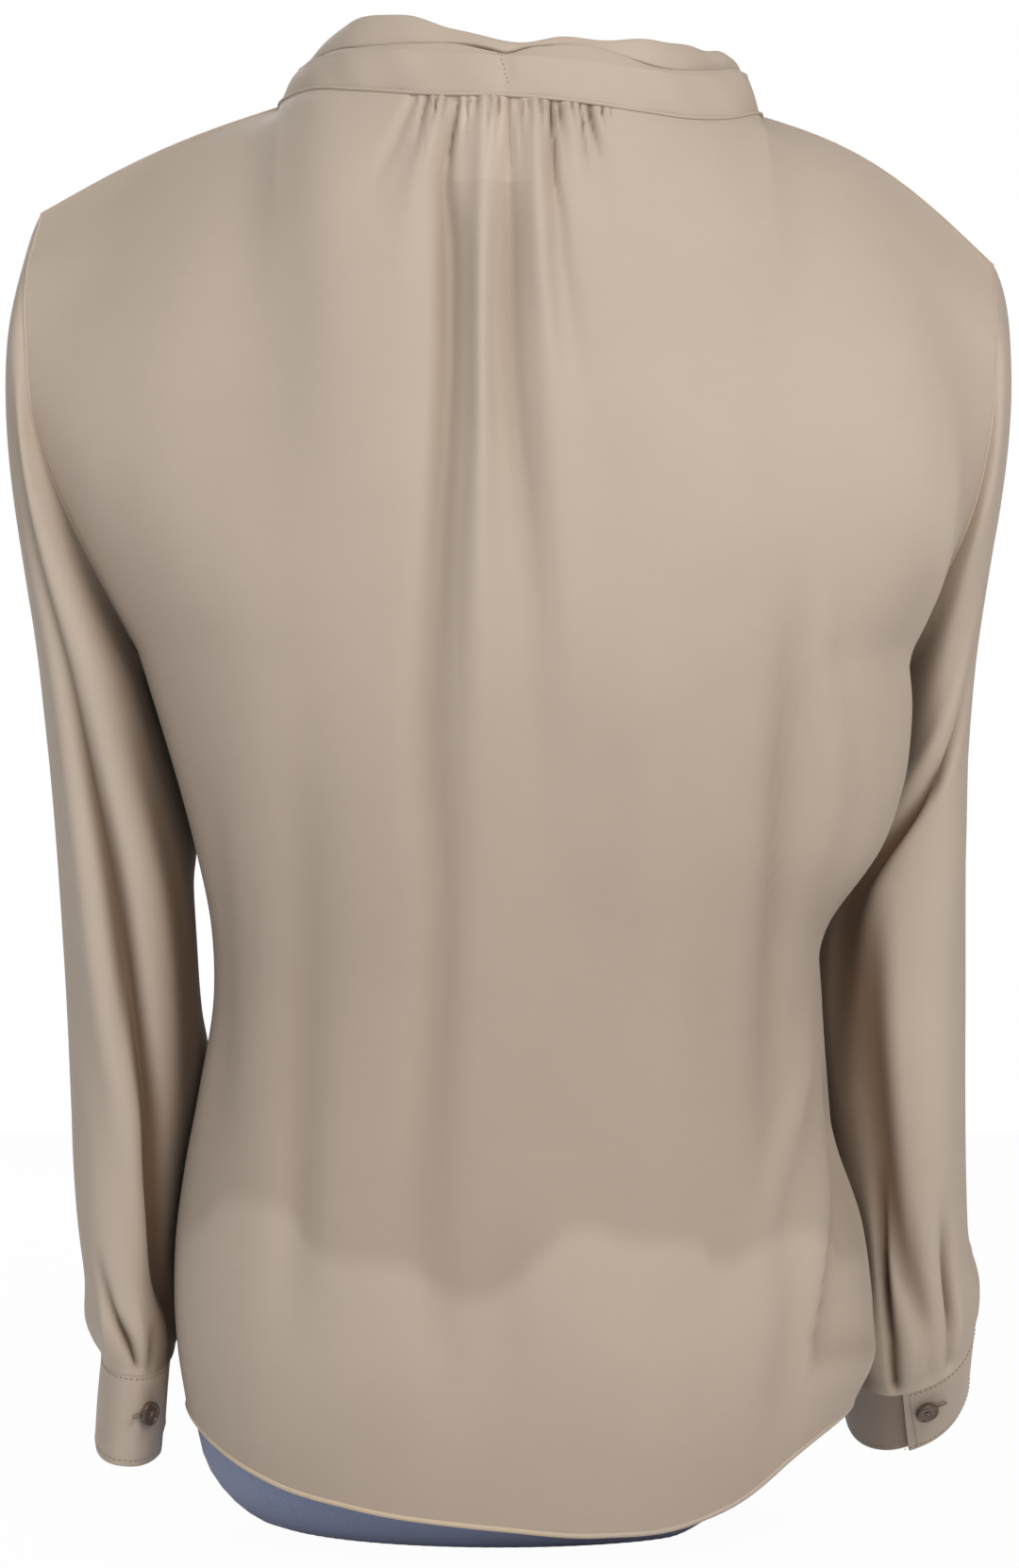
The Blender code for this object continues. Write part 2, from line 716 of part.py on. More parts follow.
SLEEVE_TOP_Z = 0.395
CAP_ROWS = (0, 0.05, 0.15, 0.3, 0.45, 0.6, 0.8)
SLEEVE_SET_OUT = 0.0005


def sleeve_grid(hand):
    """The smooth surface of a sleeve: its cap from the armhole, then its rings down to the cuff."""
    angles = [2 * math.pi * i / SLEEVE_SIDES for i in range(SLEEVE_SIDES)]
    grid = []
    for way in CAP_ROWS:
        row = []
        for angle in angles:
            seam = armhole_point(hand, angle) + np.array([hand * SLEEVE_SET_OUT, 0, 0])
            ring = sleeve_ring(hand, SLEEVE_TOP_Z, angle)
            length = np.linalg.norm(ring - seam)
            out = (1 + math.cos(angle)) / 2
            leave = unit(np.array([hand * (0.08 + 0.22 * out), 0.5 * math.sin(angle), -1 + 0.45 * out]))
            arrive = sleeve_ring(hand, SLEEVE_TOP_Z, angle) - sleeve_ring(hand, SLEEVE_TOP_Z - 0.01, angle)
            row.append(hermite(seam, ring, leave * length * 0.7, -unit(arrive) * length * 0.9, way))
        grid.append(row)
    for z in (SLEEVE_TOP_Z, 0.36, 0.325, 0.29, 0.255, 0.22, 0.185, 0.155, 0.128, *cuff_rows(hand)):
        grid.append([sleeve_ring(hand, z, angle) for angle in angles])
    return np.array(grid), angles


def cuff_rows(hand):
    top = SLEEVES[hand]["z"][-1]
    return top + 0.022, top + 0.008, top


def build_sleeve(hand, name, finish):
    """A sleeve with its long winding fold, from the armhole seam to the cuff's seam."""
    grid, angles = sleeve_grid(hand)
    normals = grid_normals(grid, around=True)
    if np.sum(normals[10, 0] * np.array([hand, 0, 0])) < 0:
        normals = -normals
    fold = SLEEVE_FOLDS[hand]
    outer = grid.copy()
    for row in range(1, len(grid) - 1):
        for column, angle in enumerate(angles):
            z = grid[row, column, 2]
            turn = (math.degrees(angle) - read(fold, "angle", z) + 180) % 360 - 180
            push = -read(fold, "depth", z) * bell(turn, read(fold, "width", z))
            push += 0.35 * read(fold, "depth", z) * bell(turn + 42, 20)
            outer[row, column] += normals[row, column] * push
    for column, angle in enumerate(angles):
        down = np.array([0, 0, -0.5 * ((1 - math.cos(angle)) / 2) ** 2])
        normals[0, column] = unit(normals[0, column] * np.array([0.05, 1, 1]) + down)
    tilt = math.radians(SLEEVES[hand]["tilt"][-1])
    axis = np.array([0, math.sin(tilt), math.cos(tilt)])
    normals[-1] = [unit(normal - axis * (normal @ axis)) for normal in normals[-1]]
    outer[-1] += axis * SEAM_GAP
    inner = outer - normals * CLOTH
    rows, columns = len(grid), len(angles)
    return cloth_wall(
        name, outer.reshape(-1, 3), inner.reshape(-1, 3), grid_faces(rows, columns, True), finish
    )


def cuff_point(hand, angle, down, set_in):
    """A point of a cuff's outer face, or of its under-lap, which is set in behind the upper end."""
    top = SLEEVES[hand]["z"][-1]
    swing = np.array([hand * CUFF_SWING[hand] * down / CUFF_HEIGHT, 0, 0])
    point = sleeve_ring(hand, top, angle, down)
    out = unit(point - sleeve_ring(hand, top, angle + math.pi, down))
    return point + swing - out * set_in, out


CUFF_STEPS = 34
UNDER_LAP_EASE = 70.0
UNDER_LAP_FULL = 15.0


def build_cuff(hand, name, finish):
    """A cuff: one strip that goes once round the wrist, its end set in behind its beginning."""
    outer, inner = [], []
    for down in (0.0, CUFF_HEIGHT / 2, CUFF_HEIGHT):
        for step in range(CUFF_STEPS + 1):
            turned = (360 + CUFF_LAP) * step / CUFF_STEPS
            lap = ease((turned - 360 + UNDER_LAP_FULL + UNDER_LAP_EASE) / UNDER_LAP_EASE)
            angle = math.radians(CUFF_LAP_FROM[hand] - turned)
            point, out = cuff_point(hand, angle, down, lap * (CUFF_CLOTH + 0.0012))
            outer.append(point)
            inner.append(point - out * CUFF_CLOTH)
    return cloth_wall(name, outer, inner, grid_faces(3, CUFF_STEPS + 1), finish)


BUTTON_ANGLES = {LEFT: 118.0, RIGHT: 82.0}
BUTTON_DOWN = {LEFT: 0.0185, RIGHT: 0.0170}
BUTTON_SIDES = 24


def build_button(hand, name, finish):
    """A round button with a raised rim, standing just off the cuff."""
    angle = math.radians(BUTTON_ANGLES[hand])
    point, _ = cuff_point(hand, angle, BUTTON_DOWN[hand], 0)
    across = cuff_point(hand, angle + 0.05, BUTTON_DOWN[hand], 0)[0] - point
    along = cuff_point(hand, angle, BUTTON_DOWN[hand] + 0.002, 0)[0] - point
    out = unit(np.cross(across, along))
    out = out if out[1] > 0 else -out
    side = unit(across)
    up = np.cross(out, side)
    profile = (
        (BUTTON_RADIUS * 0.82, 0),
        (BUTTON_RADIUS, BUTTON_THICKNESS * 0.35),
        (BUTTON_RADIUS, BUTTON_THICKNESS * 0.75),
        (BUTTON_RADIUS * 0.90, BUTTON_THICKNESS),
        (BUTTON_RADIUS * 0.70, BUTTON_THICKNESS * 0.85),
    )
    maker = bmesh.new()
    base = point + out * 0.0006
    rings = []
    for radius, height in profile:
        turns = [2 * math.pi * i / BUTTON_SIDES for i in range(BUTTON_SIDES)]
        ring = [base + out * height + (side * math.cos(t) + up * math.sin(t)) * radius for t in turns]
        rings.append([maker.verts.new(place) for place in ring])
    maker.faces.new(rings[0][::-1])
    maker.faces.new(rings[-1])
    for low, high in zip(rings, rings[1:]):
        for i in range(BUTTON_SIDES):
            after = (i + 1) % BUTTON_SIDES
            maker.faces.new([low[i], low[after], high[after], high[i]])
    return add_object(name, maker, finish)


def collar_frame(place):
    """The seam point, the direction in which the collar stands up from it, and the one it faces."""
    step = 0.004
    point = neckline(place)
    along = unit(neckline(place + step) - neckline(place - step))
    down_front = ease((abs(place) - 0.45) / 0.35)
    outward = unit(np.array([point[0], point[1] * (1 - 0.5 * down_front), 0]))
    rise = np.array([0, 0, 1.0]) - outward * read(COLLAR, "lean", place)
    inside = unit(np.array([-math.copysign(0.80, place), 0.12, 0.55]))
    rise = unit(rise * (1 - down_front) + inside * down_front)
    face = unit(np.cross(along, rise))
    return point, rise, face if face @ outward > 0 else -face


def collar_places():
    """The stand's stations: the places where the back's and the front's columns meet the neck seam."""
    behind = [column / 2 for column in panel_columns()[0] if abs(column) < 1]
    before = [1 - column / 2 for column in front_columns() if 0 < column <= 1]
    return [-place for place in before[::-1]] + behind[::-1] + before


def build_collar_stand(finish):
    """The band that stands on the neck seam, all round the neckline to the point of the V."""
    places = collar_places()
    outer, inner = [], []
    for share in (0.0, 0.5, 1.0):
        for place in places:
            point, rise, face = collar_frame(place)
            on_front = ease((abs(place) - 0.4) / 0.1)
            height = SEAM_GAP * (1 + 1.5 * on_front) + share * read(COLLAR, "stand", place)
            swell = 0.0012 * math.sin(math.pi * share)
            at = point + rise * height + face * swell
            outer.append(at)
            inner.append(at - face * CLOTH)
    return cloth_wall("collar_stand", outer, inner, grid_faces(3, len(places)), finish)


def build_collar_roll(finish):
    """The soft roll that the collar's upper edge is folded into, tacked down at centre back."""
    places = [place for place in collar_places() if abs(place) < ROLL_END]
    maker = bmesh.new()
    rings = []
    for place in places:
        point, rise, face = collar_frame(place)
        half_height = read(COLLAR, "roll", place) / 2
        middle = point + rise * (read(COLLAR, "stand", place) + 4 * SEAM_GAP + half_height)
        middle = middle - face * CLOTH * 0.8
        ring = []
        for i in range(ROLL_SIDES):
            out, up = superellipse(2 * math.pi * i / ROLL_SIDES, 2.4)
            place_3d = middle + face * out * ROLL_HALF_THICKNESS + rise * up * half_height
            ring.append(maker.verts.new(place_3d))
        rings.append(ring)
    for low, high in zip(rings, rings[1:]):
        for i in range(ROLL_SIDES):
            after = (i + 1) % ROLL_SIDES
            maker.faces.new([low[i], low[after], high[after], high[i]])
    maker.faces.new(rings[0][::-1])
    maker.faces.new(rings[-1])
    return add_object("collar_roll", maker, finish)


def label_place(share, depth):
    """The place on the back of a point of the label: share runs across it and depth down from the seam."""
    x = LABEL_LEFT + (LABEL_RIGHT - LABEL_LEFT) * share
    column = math.asin(x / (NECK_LEFT if x >= 0 else NECK_RIGHT)) * 2 / math.pi
    length = np.linalg.norm(panel_point(column, 1, BACK) - panel_point(column, 0.9, BACK))
    return column, 1 - 0.1 * depth / length


def build_label(finish):
    """A blank label inside the back neck, flat and just clear of the deepest fold in front of it."""
    outer, inner = [], []
    into = unit(np.array([0, -1, -0.12]))
    for depth in LABEL_DEPTHS:
        deepest = 0.0
        for step in range(40):
            place = label_place(step / 39, depth)
            point = panel_point(*place, BACK)
            deepest = min(deepest, long_folds(point, BACK_FOLDS) + gathers(point))
        deepest *= LABEL_TOP_SHARE if depth == LABEL_DEPTHS[0] else 1
        for column in range(LABEL_COLUMNS):
            point = panel_point(*label_place(column / (LABEL_COLUMNS - 1), depth), BACK)
            at = point + into * (CLOTH + LABEL_GAP - deepest)
            outer.append(at)
            inner.append(at + into * LABEL_THICKNESS)
    return cloth_wall("neck_label", outer, inner, grid_faces(len(LABEL_DEPTHS), LABEL_COLUMNS), finish)


def build_form(finish):
    """The dress form: horizontal rings from its flat base to the cap of its neck, without limbs or head."""
    maker = bmesh.new()
    rings = []
    for z, half_width, back, front, shift in zip(*FORM.values()):
        ring = []
        for i in range(FORM_SIDES):
            side, deep = superellipse(2 * math.pi * i / FORM_SIDES, FORM_ROUNDNESS)
            depth = back * deep if deep > 0 else -front * deep
            ring.append(maker.verts.new((shift + half_width * side, depth, z)))
        rings.append(ring)
    for low, high in zip(rings, rings[1:]):
        for i in range(FORM_SIDES):
            after = (i + 1) % FORM_SIDES
            maker.faces.new([low[i], low[after], high[after], high[i]])
    maker.faces.new(rings[0][::-1])
    maker.faces.new(rings[-1])
    return add_object("dress_form", maker, finish)


def main():
    for old in list(bpy.data.objects):
        bpy.data.objects.remove(old, do_unlink=True)
    crepe = material("crepe", (0.50, 0.40, 0.31), 0.6)
    label = material("label", (0.62, 0.52, 0.42), 0.7)
    button = material("button", (0.16, 0.09, 0.05), 0.3)
    jersey = material("jersey", (0.22, 0.25, 0.34), 0.9)
    build_back(crepe)
    build_front(crepe)
    for hand, word in ((LEFT, "left"), (RIGHT, "right")):
        build_sleeve(hand, f"{word}_sleeve", crepe)
        build_cuff(hand, f"{word}_cuff", crepe)
        build_button(hand, f"{word}_cuff_button", button)
    build_collar_stand(crepe)
    build_collar_roll(crepe)
    build_label(label)
    build_form(jersey)


main()
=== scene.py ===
"""The finished look of a crepe blouse on a limbless dress form, laid out as a Blender add-on.

Metres, +Z up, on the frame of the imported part. The blouse's front faces -Y and its back, which the
camera sees, +Y; the wearer's left is +X. The cloth follows the same sections and seams as the solids,
with its finer folds and gathers added as soft ridges and troughs.
"""

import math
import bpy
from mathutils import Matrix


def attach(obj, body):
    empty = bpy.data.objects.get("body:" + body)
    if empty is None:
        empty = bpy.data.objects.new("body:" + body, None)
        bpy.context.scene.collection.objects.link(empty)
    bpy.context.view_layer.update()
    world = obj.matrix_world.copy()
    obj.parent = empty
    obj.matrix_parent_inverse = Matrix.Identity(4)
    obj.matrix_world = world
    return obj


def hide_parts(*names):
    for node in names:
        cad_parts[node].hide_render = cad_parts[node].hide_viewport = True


bl_info = {
    "name": "Crepe blouse on a dress form",
    "version": (1, 0, 0),
    "blender": (4, 5, 0),
    "location": "3D View > Sidebar > Blouse",
    "description": "Builds the cloth, sewing, buttons, dress form and stage of a gathered-back blouse",
    "category": "Object",
}

import bmesh
import bpy
import numpy as np
from mathutils import Matrix, Vector

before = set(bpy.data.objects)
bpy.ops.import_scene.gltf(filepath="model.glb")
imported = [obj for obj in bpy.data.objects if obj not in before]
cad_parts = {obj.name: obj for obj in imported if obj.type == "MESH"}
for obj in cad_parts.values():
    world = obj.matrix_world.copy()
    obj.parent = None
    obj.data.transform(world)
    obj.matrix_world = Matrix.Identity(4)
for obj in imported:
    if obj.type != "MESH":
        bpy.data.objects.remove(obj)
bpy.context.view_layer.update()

LEFT, RIGHT = 1, -1
BACK, FRONT = 1, -1
HANDS = ((LEFT, "left"), (RIGHT, "right"))

# Seams and cloth, as in the solids
CLOTH = 0.0014
CUFF_CLOTH = 0.0018
SEAM_GAP = 0.0003
HALF_GAP = SEAM_GAP / 2
SHEET, CUFF_SHEET = 0.0009, CUFF_CLOTH * 0.85

# The body: heights of its landmarks and the roundness of its sections
CHEST_Z = 0.412
ROUNDNESS = 2.35
TUCK_FROM = 0.80 * math.pi

# The neckline
NECK_LEFT, NECK_RIGHT = 0.107, 0.120
NECK_BACK_Y = 0.085
V_POINT_Y, V_POINT_Z = -0.120, 0.500
V_BENDS = (1.35, 1.6, 1.2)
NECK_GATHERS = 20
GATHERS_LEFT, GATHERS_RIGHT = 0.043, -0.050
GATHER_DEPTH = 0.0016
GATHER_LENGTH = 0.017
GATHER_SHARPNESS = 2.2
ARRIVAL_SLOPES = {BACK: (74, 12, 26), FRONT: (62, 12, 26)}
SHOULDER_BOW = {LEFT: 0.0045, RIGHT: 0.0115}

# Cuffs
CUFF_HEIGHT = 0.044
CUFF_LAP = 36.0
CUFF_SWING = {LEFT: 0.004, RIGHT: 0.0}


def table(columns, *rows):
    """A small table as one array for each named column."""
    return {name: np.array(values, float) for name, values in zip(columns.split(), zip(*rows))}


def tables(columns, named_rows):
    """Several tables with the same columns, by name."""
    return {name: table(columns, *rows) for name, rows in named_rows.items()}


def read(values, column, at):
    """One column of a table at places along its first column, on a smooth curve through the rows."""
    keys = next(iter(values.values()))
    heights = values[column]
    if keys[0] > keys[-1]:
        keys, heights = keys[::-1], heights[::-1]
    at = np.clip(at, keys[0], keys[-1])
    i = np.clip(np.searchsorted(keys, at) - 1, 0, len(keys) - 2)
    slopes = np.gradient(heights, keys)
    step = keys[i + 1] - keys[i]
    return hermite(heights[i], heights[i + 1], slopes[i] * step, slopes[i + 1] * step, (at - keys[i]) / step)


def hermite(start, end, start_pull, end_pull, t):
    """A cubic from start to end that leaves and arrives along the two pulls."""
    s = 1 - t
    return (
        start * (1 + 2 * t) * s * s
        + end * (3 - 2 * t) * t * t
        + start_pull * t * s * s
        - end_pull * t * t * s
    )


def ease(t):
    """0 below 0, 1 above 1, and smooth between."""
    t = np.clip(t, 0.0, 1.0)
    return t * t * (3 - 2 * t)


def bell(offset, width):
    return np.exp(-((offset / width) ** 2))


def waves(along, across, rows):
    """Some waves added up: each row has a wave's height, its pitch along, and its slant across."""
    return sum(height * np.sin(along * pitch + slant * across) for height, pitch, slant in rows)


def unit(vectors):
    return vectors / np.maximum(np.linalg.norm(vectors, axis=-1, keepdims=True), 1e-12)


def points(x, y, z):
    """Three arrays, or numbers, as one array of places or directions."""
    return np.stack(np.broadcast_arrays(*(np.asarray(part, float) for part in (x, y, z))), axis=-1)


# Horizontal sections of the body, hem to chest. right is the widest reach of the back panel on that side,
# and tuck is how far the side seam lies inside it.
BODY = table(
    "z left right tuck back front",
    (0.012, 0.142, 0.15, 0.01, 0.117, -0.116), (0.06, 0.1505, 0.172, 0.015, 0.1195, -0.119),
    (0.085, 0.1545, 0.179, 0.02, 0.1205, -0.1205), (0.135, 0.1555, 0.17, 0.014, 0.1215, -0.122),
    (0.17, 0.151, 0.162, 0.008, 0.1195, -0.122), (0.205, 0.1445, 0.153, 0.002, 0.114, -0.121),
    (0.25, 0.1375, 0.148, 0, 0.1085, -0.121), (0.28, 0.1385, 0.156, 0.009, 0.1075, -0.122),
    (0.32, 0.1465, 0.184, 0.028, 0.109, -0.126), (0.35, 0.1545, 0.193, 0.03, 0.1105, -0.129),
    (0.38, 0.1635, 0.2, 0.03, 0.1125, -0.132), (0.412, 0.1735, 0.211, 0.03, 0.1145, -0.135),
)

# The hem's height across the body: a curved shirt tail, low at the middle.
HEM = table(
    "x z",
    (-0.18, 0.074), (-0.163, 0.067), (-0.15, 0.057), (-0.139, 0.047), (-0.118, 0.027), (-0.098, 0.018),
    (-0.05, 0.013), (0, 0.016), (0.074, 0.025), (0.112, 0.034), (0.137, 0.047), (0.155, 0.062),
)
FRONT_HEM_RISE = 0.012

# Each armhole seam from the underarm (way 0) to the shoulder tip (way 1), on the back and on the front.
ARMHOLES = tables(
    "way x y z",
    {
        (LEFT, BACK): (
            (0, 0.1735, 0, 0.412), (0.15, 0.187, 0.02, 0.44), (0.35, 0.204, 0.034, 0.476),
            (0.55, 0.218, 0.039, 0.513), (0.75, 0.223, 0.034, 0.553), (0.9, 0.224, 0.02, 0.588),
            (1, 0.219, 0, 0.618),
        ),
        (LEFT, FRONT): (
            (0, 0.1735, 0, 0.412), (0.15, 0.181, -0.024, 0.436), (0.35, 0.193, -0.042, 0.472),
            (0.55, 0.208, -0.048, 0.511), (0.75, 0.218, -0.042, 0.552), (0.9, 0.2225, -0.024, 0.588),
            (1, 0.219, 0, 0.618),
        ),
        (RIGHT, BACK): (
            (0, -0.181, 0, 0.412), (0.15, -0.197, 0.024, 0.436), (0.35, -0.212, 0.042, 0.466),
            (0.55, -0.221, 0.046, 0.499), (0.75, -0.226, 0.04, 0.536), (0.9, -0.228, 0.024, 0.568),
            (1, -0.229, 0, 0.594),
        ),
        (RIGHT, FRONT): (
            (0, -0.181, 0, 0.412), (0.15, -0.188, -0.024, 0.434), (0.35, -0.2, -0.042, 0.465),
            (0.55, -0.215, -0.048, 0.5), (0.75, -0.222, -0.042, 0.537), (0.9, -0.227, -0.024, 0.569),
            (1, -0.229, 0, 0.594),
        ),
    },
)

# The height of the back neck seam across the neck.
NECK_SEAM = table(
    "x z",
    (-0.12, 0.6635), (-0.105, 0.657), (-0.086, 0.654), (-0.064, 0.655), (-0.035, 0.658), (0, 0.6605),
    (0.035, 0.662), (0.07, 0.6665), (0.09, 0.6695), (0.107, 0.668),
)

# Sleeve rings from below the underarm to the cuff. outer and inner are distances from the body's middle.
SLEEVES = tables(
    "z outer inner y half_depth tilt",
    {
        LEFT: (
            (0.395, 0.2195, 0.173, -0.006, 0.055, 0), (0.35, 0.215, 0.161, -0.008, 0.056, 0),
            (0.3, 0.2114, 0.148, -0.01, 0.057, 0), (0.25, 0.2088, 0.145, -0.011, 0.056, 0),
            (0.2, 0.2066, 0.148, -0.011, 0.054, 0), (0.16, 0.2045, 0.1555, -0.01, 0.052, 2),
            (0.125, 0.2005, 0.159, -0.01, 0.05, 5), (0.098, 0.1955, 0.1585, -0.01, 0.048, 8),
            (0.076, 0.191, 0.1575, -0.01, 0.046, 9),
        ),
        RIGHT: (
            (0.395, 0.2215, 0.1895, -0.022, 0.048, 0), (0.35, 0.219, 0.181, -0.024, 0.049, 0),
            (0.3, 0.219, 0.158, -0.025, 0.05, 0), (0.25, 0.219, 0.1525, -0.026, 0.05, 0),
            (0.2, 0.219, 0.155, -0.027, 0.049, 4), (0.16, 0.2195, 0.1585, -0.029, 0.047, 12),
            (0.13, 0.2205, 0.1605, -0.03, 0.044, 22), (0.107, 0.2225, 0.1615, -0.03, 0.04, 34),
            (0.086, 0.224, 0.1635, -0.03, 0.037, 42),
        ),
    },
)
SLEEVE_ROUNDNESS = 2.3

# The collar round the neckline: place 0 is centre back, 0.5 a shoulder and 1 the point of the V.
COLLAR = table(
    "place stand roll lean",
    (-0.985, 0.003, 0.002, 0.1), (-0.9, 0.01, 0.005, 0.14), (-0.8, 0.017, 0.008, 0.2),
    (-0.65, 0.02, 0.011, 0.32), (-0.5, 0.019, 0.0105, 0.4), (-0.35, 0.0205, 0.015, 0.32),
    (-0.2, 0.02, 0.0155, 0.22), (-0.08, 0.019, 0.0125, 0.2), (0, 0.0185, 0.0065, 0.2),
    (0.08, 0.019, 0.013, 0.2), (0.17, 0.0195, 0.0185, 0.24), (0.26, 0.018, 0.0165, 0.34),
    (0.36, 0.016, 0.012, 0.5), (0.5, 0.018, 0.01, 0.66), (0.65, 0.02, 0.01, 0.45), (0.8, 0.017, 0.008, 0.2),
    (0.9, 0.01, 0.005, 0.14), (0.985, 0.003, 0.002, 0.1),
)
COLLAR_END = 0.975
ROLL_END = 0.95
ROLL_HALF_THICKNESS = 0.0024

# The dress form, base to neck
FORM = table(
    "z half_width back front shift",
    (0, 0.103, 0.078, -0.078, 0.003), (0.005, 0.115, 0.088, -0.088, 0.003),
    (0.012, 0.1255, 0.096, -0.095, 0.003), (0.027, 0.138, 0.105, -0.103, 0.003),
    (0.043, 0.1436, 0.1085, -0.107, 0.002), (0.07, 0.1466, 0.1105, -0.109, 0.002),
    (0.1, 0.147, 0.111, -0.11, 0.002), (0.14, 0.142, 0.108, -0.108, 0.002), (0.19, 0.125, 0.096, -0.1, 0.001),
    (0.25, 0.111, 0.086, -0.095, 0), (0.31, 0.117, 0.088, -0.102, 0), (0.37, 0.133, 0.094, -0.113, 0),
    (0.43, 0.148, 0.098, -0.119, 0), (0.48, 0.157, 0.098, -0.114, 0), (0.53, 0.168, 0.094, -0.098, 0),
    (0.57, 0.176, 0.082, -0.078, 0), (0.6, 0.176, 0.066, -0.058, 0), (0.62, 0.166, 0.054, -0.046, 0),
    (0.6396, 0.144, 0.038, -0.035, 0), (0.6516, 0.1225, 0.035, -0.033, 0), (0.6585, 0.104, 0.037, -0.034, 0),
    (0.663, 0.08, 0.041, -0.034, 0), (0.668, 0.062, 0.043, -0.034, 0), (0.674, 0.055, 0.04, -0.031, 0),
)


def neckline(place):
    """Points of the neck seam: 0 is centre back, +-0.5 the shoulders and +-1 the point of the V."""
    place = np.asarray(place, float)
    width = np.where(place >= 0, NECK_LEFT, -NECK_RIGHT)
    x_behind = width * np.sin(np.pi * np.abs(place))
    down = np.clip((np.abs(place) - 0.5) * 2, 0, 1)
    top = read(NECK_SEAM, "z", width)
    behind = np.abs(place) <= 0.5
    bend_x, bend_y, bend_z = V_BENDS
    x = np.where(behind, x_behind, width * (1 - down**bend_x))
    y = np.where(behind, NECK_BACK_Y * np.cos(np.pi * place), V_POINT_Y * (1 - (1 - down) ** bend_y))
    z = np.where(behind, read(NECK_SEAM, "z", x_behind), top + (V_POINT_Z - top) * down**bend_z)
    return points(x, y, z)


def body_section(angle, z, side):
    """Points of the body at a height: angle 0 is the left side seam and pi the right one."""
    toward = np.cos(angle)
    tuck, left, right = read(BODY, "tuck", z), read(BODY, "left", z), read(BODY, "right", z)
    spread = np.abs(toward) ** (2 / ROUNDNESS)
    if side == BACK:
        x = np.where(toward > 0, left, -right) * spread
        x = x + tuck * ease((angle - TUCK_FROM) / (math.pi - TUCK_FROM))
    else:
        x = np.where(toward > 0, left, tuck - right) * spread
    depth = read(BODY, "back" if side == BACK else "front", z)
    return points(x, depth * np.maximum(np.sin(angle), 0.0) ** (2 / ROUNDNESS), z)


def armhole(hand_sign, side, way):
    """Points of the armhole seams, each on the side that its sign gives."""
    left = points(*(read(ARMHOLES[LEFT, side], axis, way) for axis in "xyz"))
    right = points(*(read(ARMHOLES[RIGHT, side], axis, way) for axis in "xyz"))
    return np.where(hand_sign[..., None] > 0, left, right)


def seam_place(column, side):
    """The place round the neckline where a column of a panel ends."""
    sign = np.where(column >= 0, 1, -1)
    return column / 2 if side == BACK else sign * (1 - np.abs(column) / 2)


def top_edge(column, side):
    """Where columns end: on the shoulder seam for |column| from 1 to 2, on the neckline below 1."""
    sign = np.where(column >= 0, 1, -1)
    on_neck = neckline(seam_place(np.clip(column, -1, 1), side))
    along = np.clip(np.abs(column) - 1, 0, 1)
    tip = armhole(sign, side, np.ones_like(column))
    bow = np.where(sign > 0, SHOULDER_BOW[LEFT], SHOULDER_BOW[RIGHT]) * np.sin(np.pi * along)
    on_shoulder = neckline(sign * 0.5) * (1 - along)[..., None] + tip * along[..., None] + points(0, 0, bow)
    return np.where(np.abs(column)[..., None] <= 1, on_neck, on_shoulder)


def column_angle(column):
    """The place of columns round the body, from their place along the top edge."""
    sign = np.where(column >= 0, 1, -1)
    span = np.where(sign > 0, ARMHOLES[LEFT, BACK]["x"][-1], -ARMHOLES[RIGHT, BACK]["x"][-1])
    neck = np.arcsin(np.where(sign > 0, NECK_LEFT, NECK_RIGHT) / span)
    beyond = neck + (np.pi / 2 - neck) * (np.abs(column) - 1)
    return np.pi / 2 - sign * np.where(np.abs(column) <= 1, neck * np.abs(column), beyond)


def arrival(column, side):
    """The directions in which the cloth meets its top edge, from its slopes at three places along it."""
    middle, corner, tip = ARRIVAL_SLOPES[side]
    along = np.abs(column)
    slope = np.radians(middle + (corner - middle) * ease(along) + (tip - corner) * ease(along - 1))
    return points(0, -side * np.cos(slope), np.sin(slope))


def plain_rise(column, way, side):
    """The plain cubic from the chest section to the top edge."""
    angle = column_angle(column)
    chest = np.full_like(angle, CHEST_Z)
    start = body_section(angle, chest, side)
    below = body_section(angle, chest - 0.01, side)
    end = top_edge(column, side)
    length = np.linalg.norm(end - start, axis=-1, keepdims=True)
    leave, arrive = (start - below) * length / 0.01, arrival(column, side) * length * 0.8
    return hermite(start, end, leave, arrive, way[..., None])


def upper_point(column, way, side):
    """The yoke of a panel: from the chest section (way 0) to the shoulder seam or the neckline (way 1)."""
    sign = np.where(column >= 0, 1, -1)
    near_edge = ease((np.abs(column) - 0.9) / 1.1)[..., None]
    shift = armhole(sign, side, way) - plain_rise(2.0 * sign, way, side)
    return plain_rise(column, way, side) + near_edge * shift


def hem_height(angle, side):
    x = body_section(angle, np.full_like(angle, 0.06), side)[..., 0]
    rise = FRONT_HEM_RISE * np.sin(angle) if side == FRONT else 0
    return read(HEM, "z", x) + rise


def panel_point(column, row, side):
    """A panel's smooth surface: row -1 is the hem, 0 the chest and 1 the top edge."""
    column, row = np.broadcast_arrays(np.asarray(column, float), np.asarray(row, float))
    angle = column_angle(column)
    hem = hem_height(angle, side)
    lower = body_section(angle, hem + (CHEST_Z - hem) * (1 + np.minimum(row, 0)), side)
    return np.where(row[..., None] >= 0, upper_point(column, np.maximum(row, 0), side), lower)


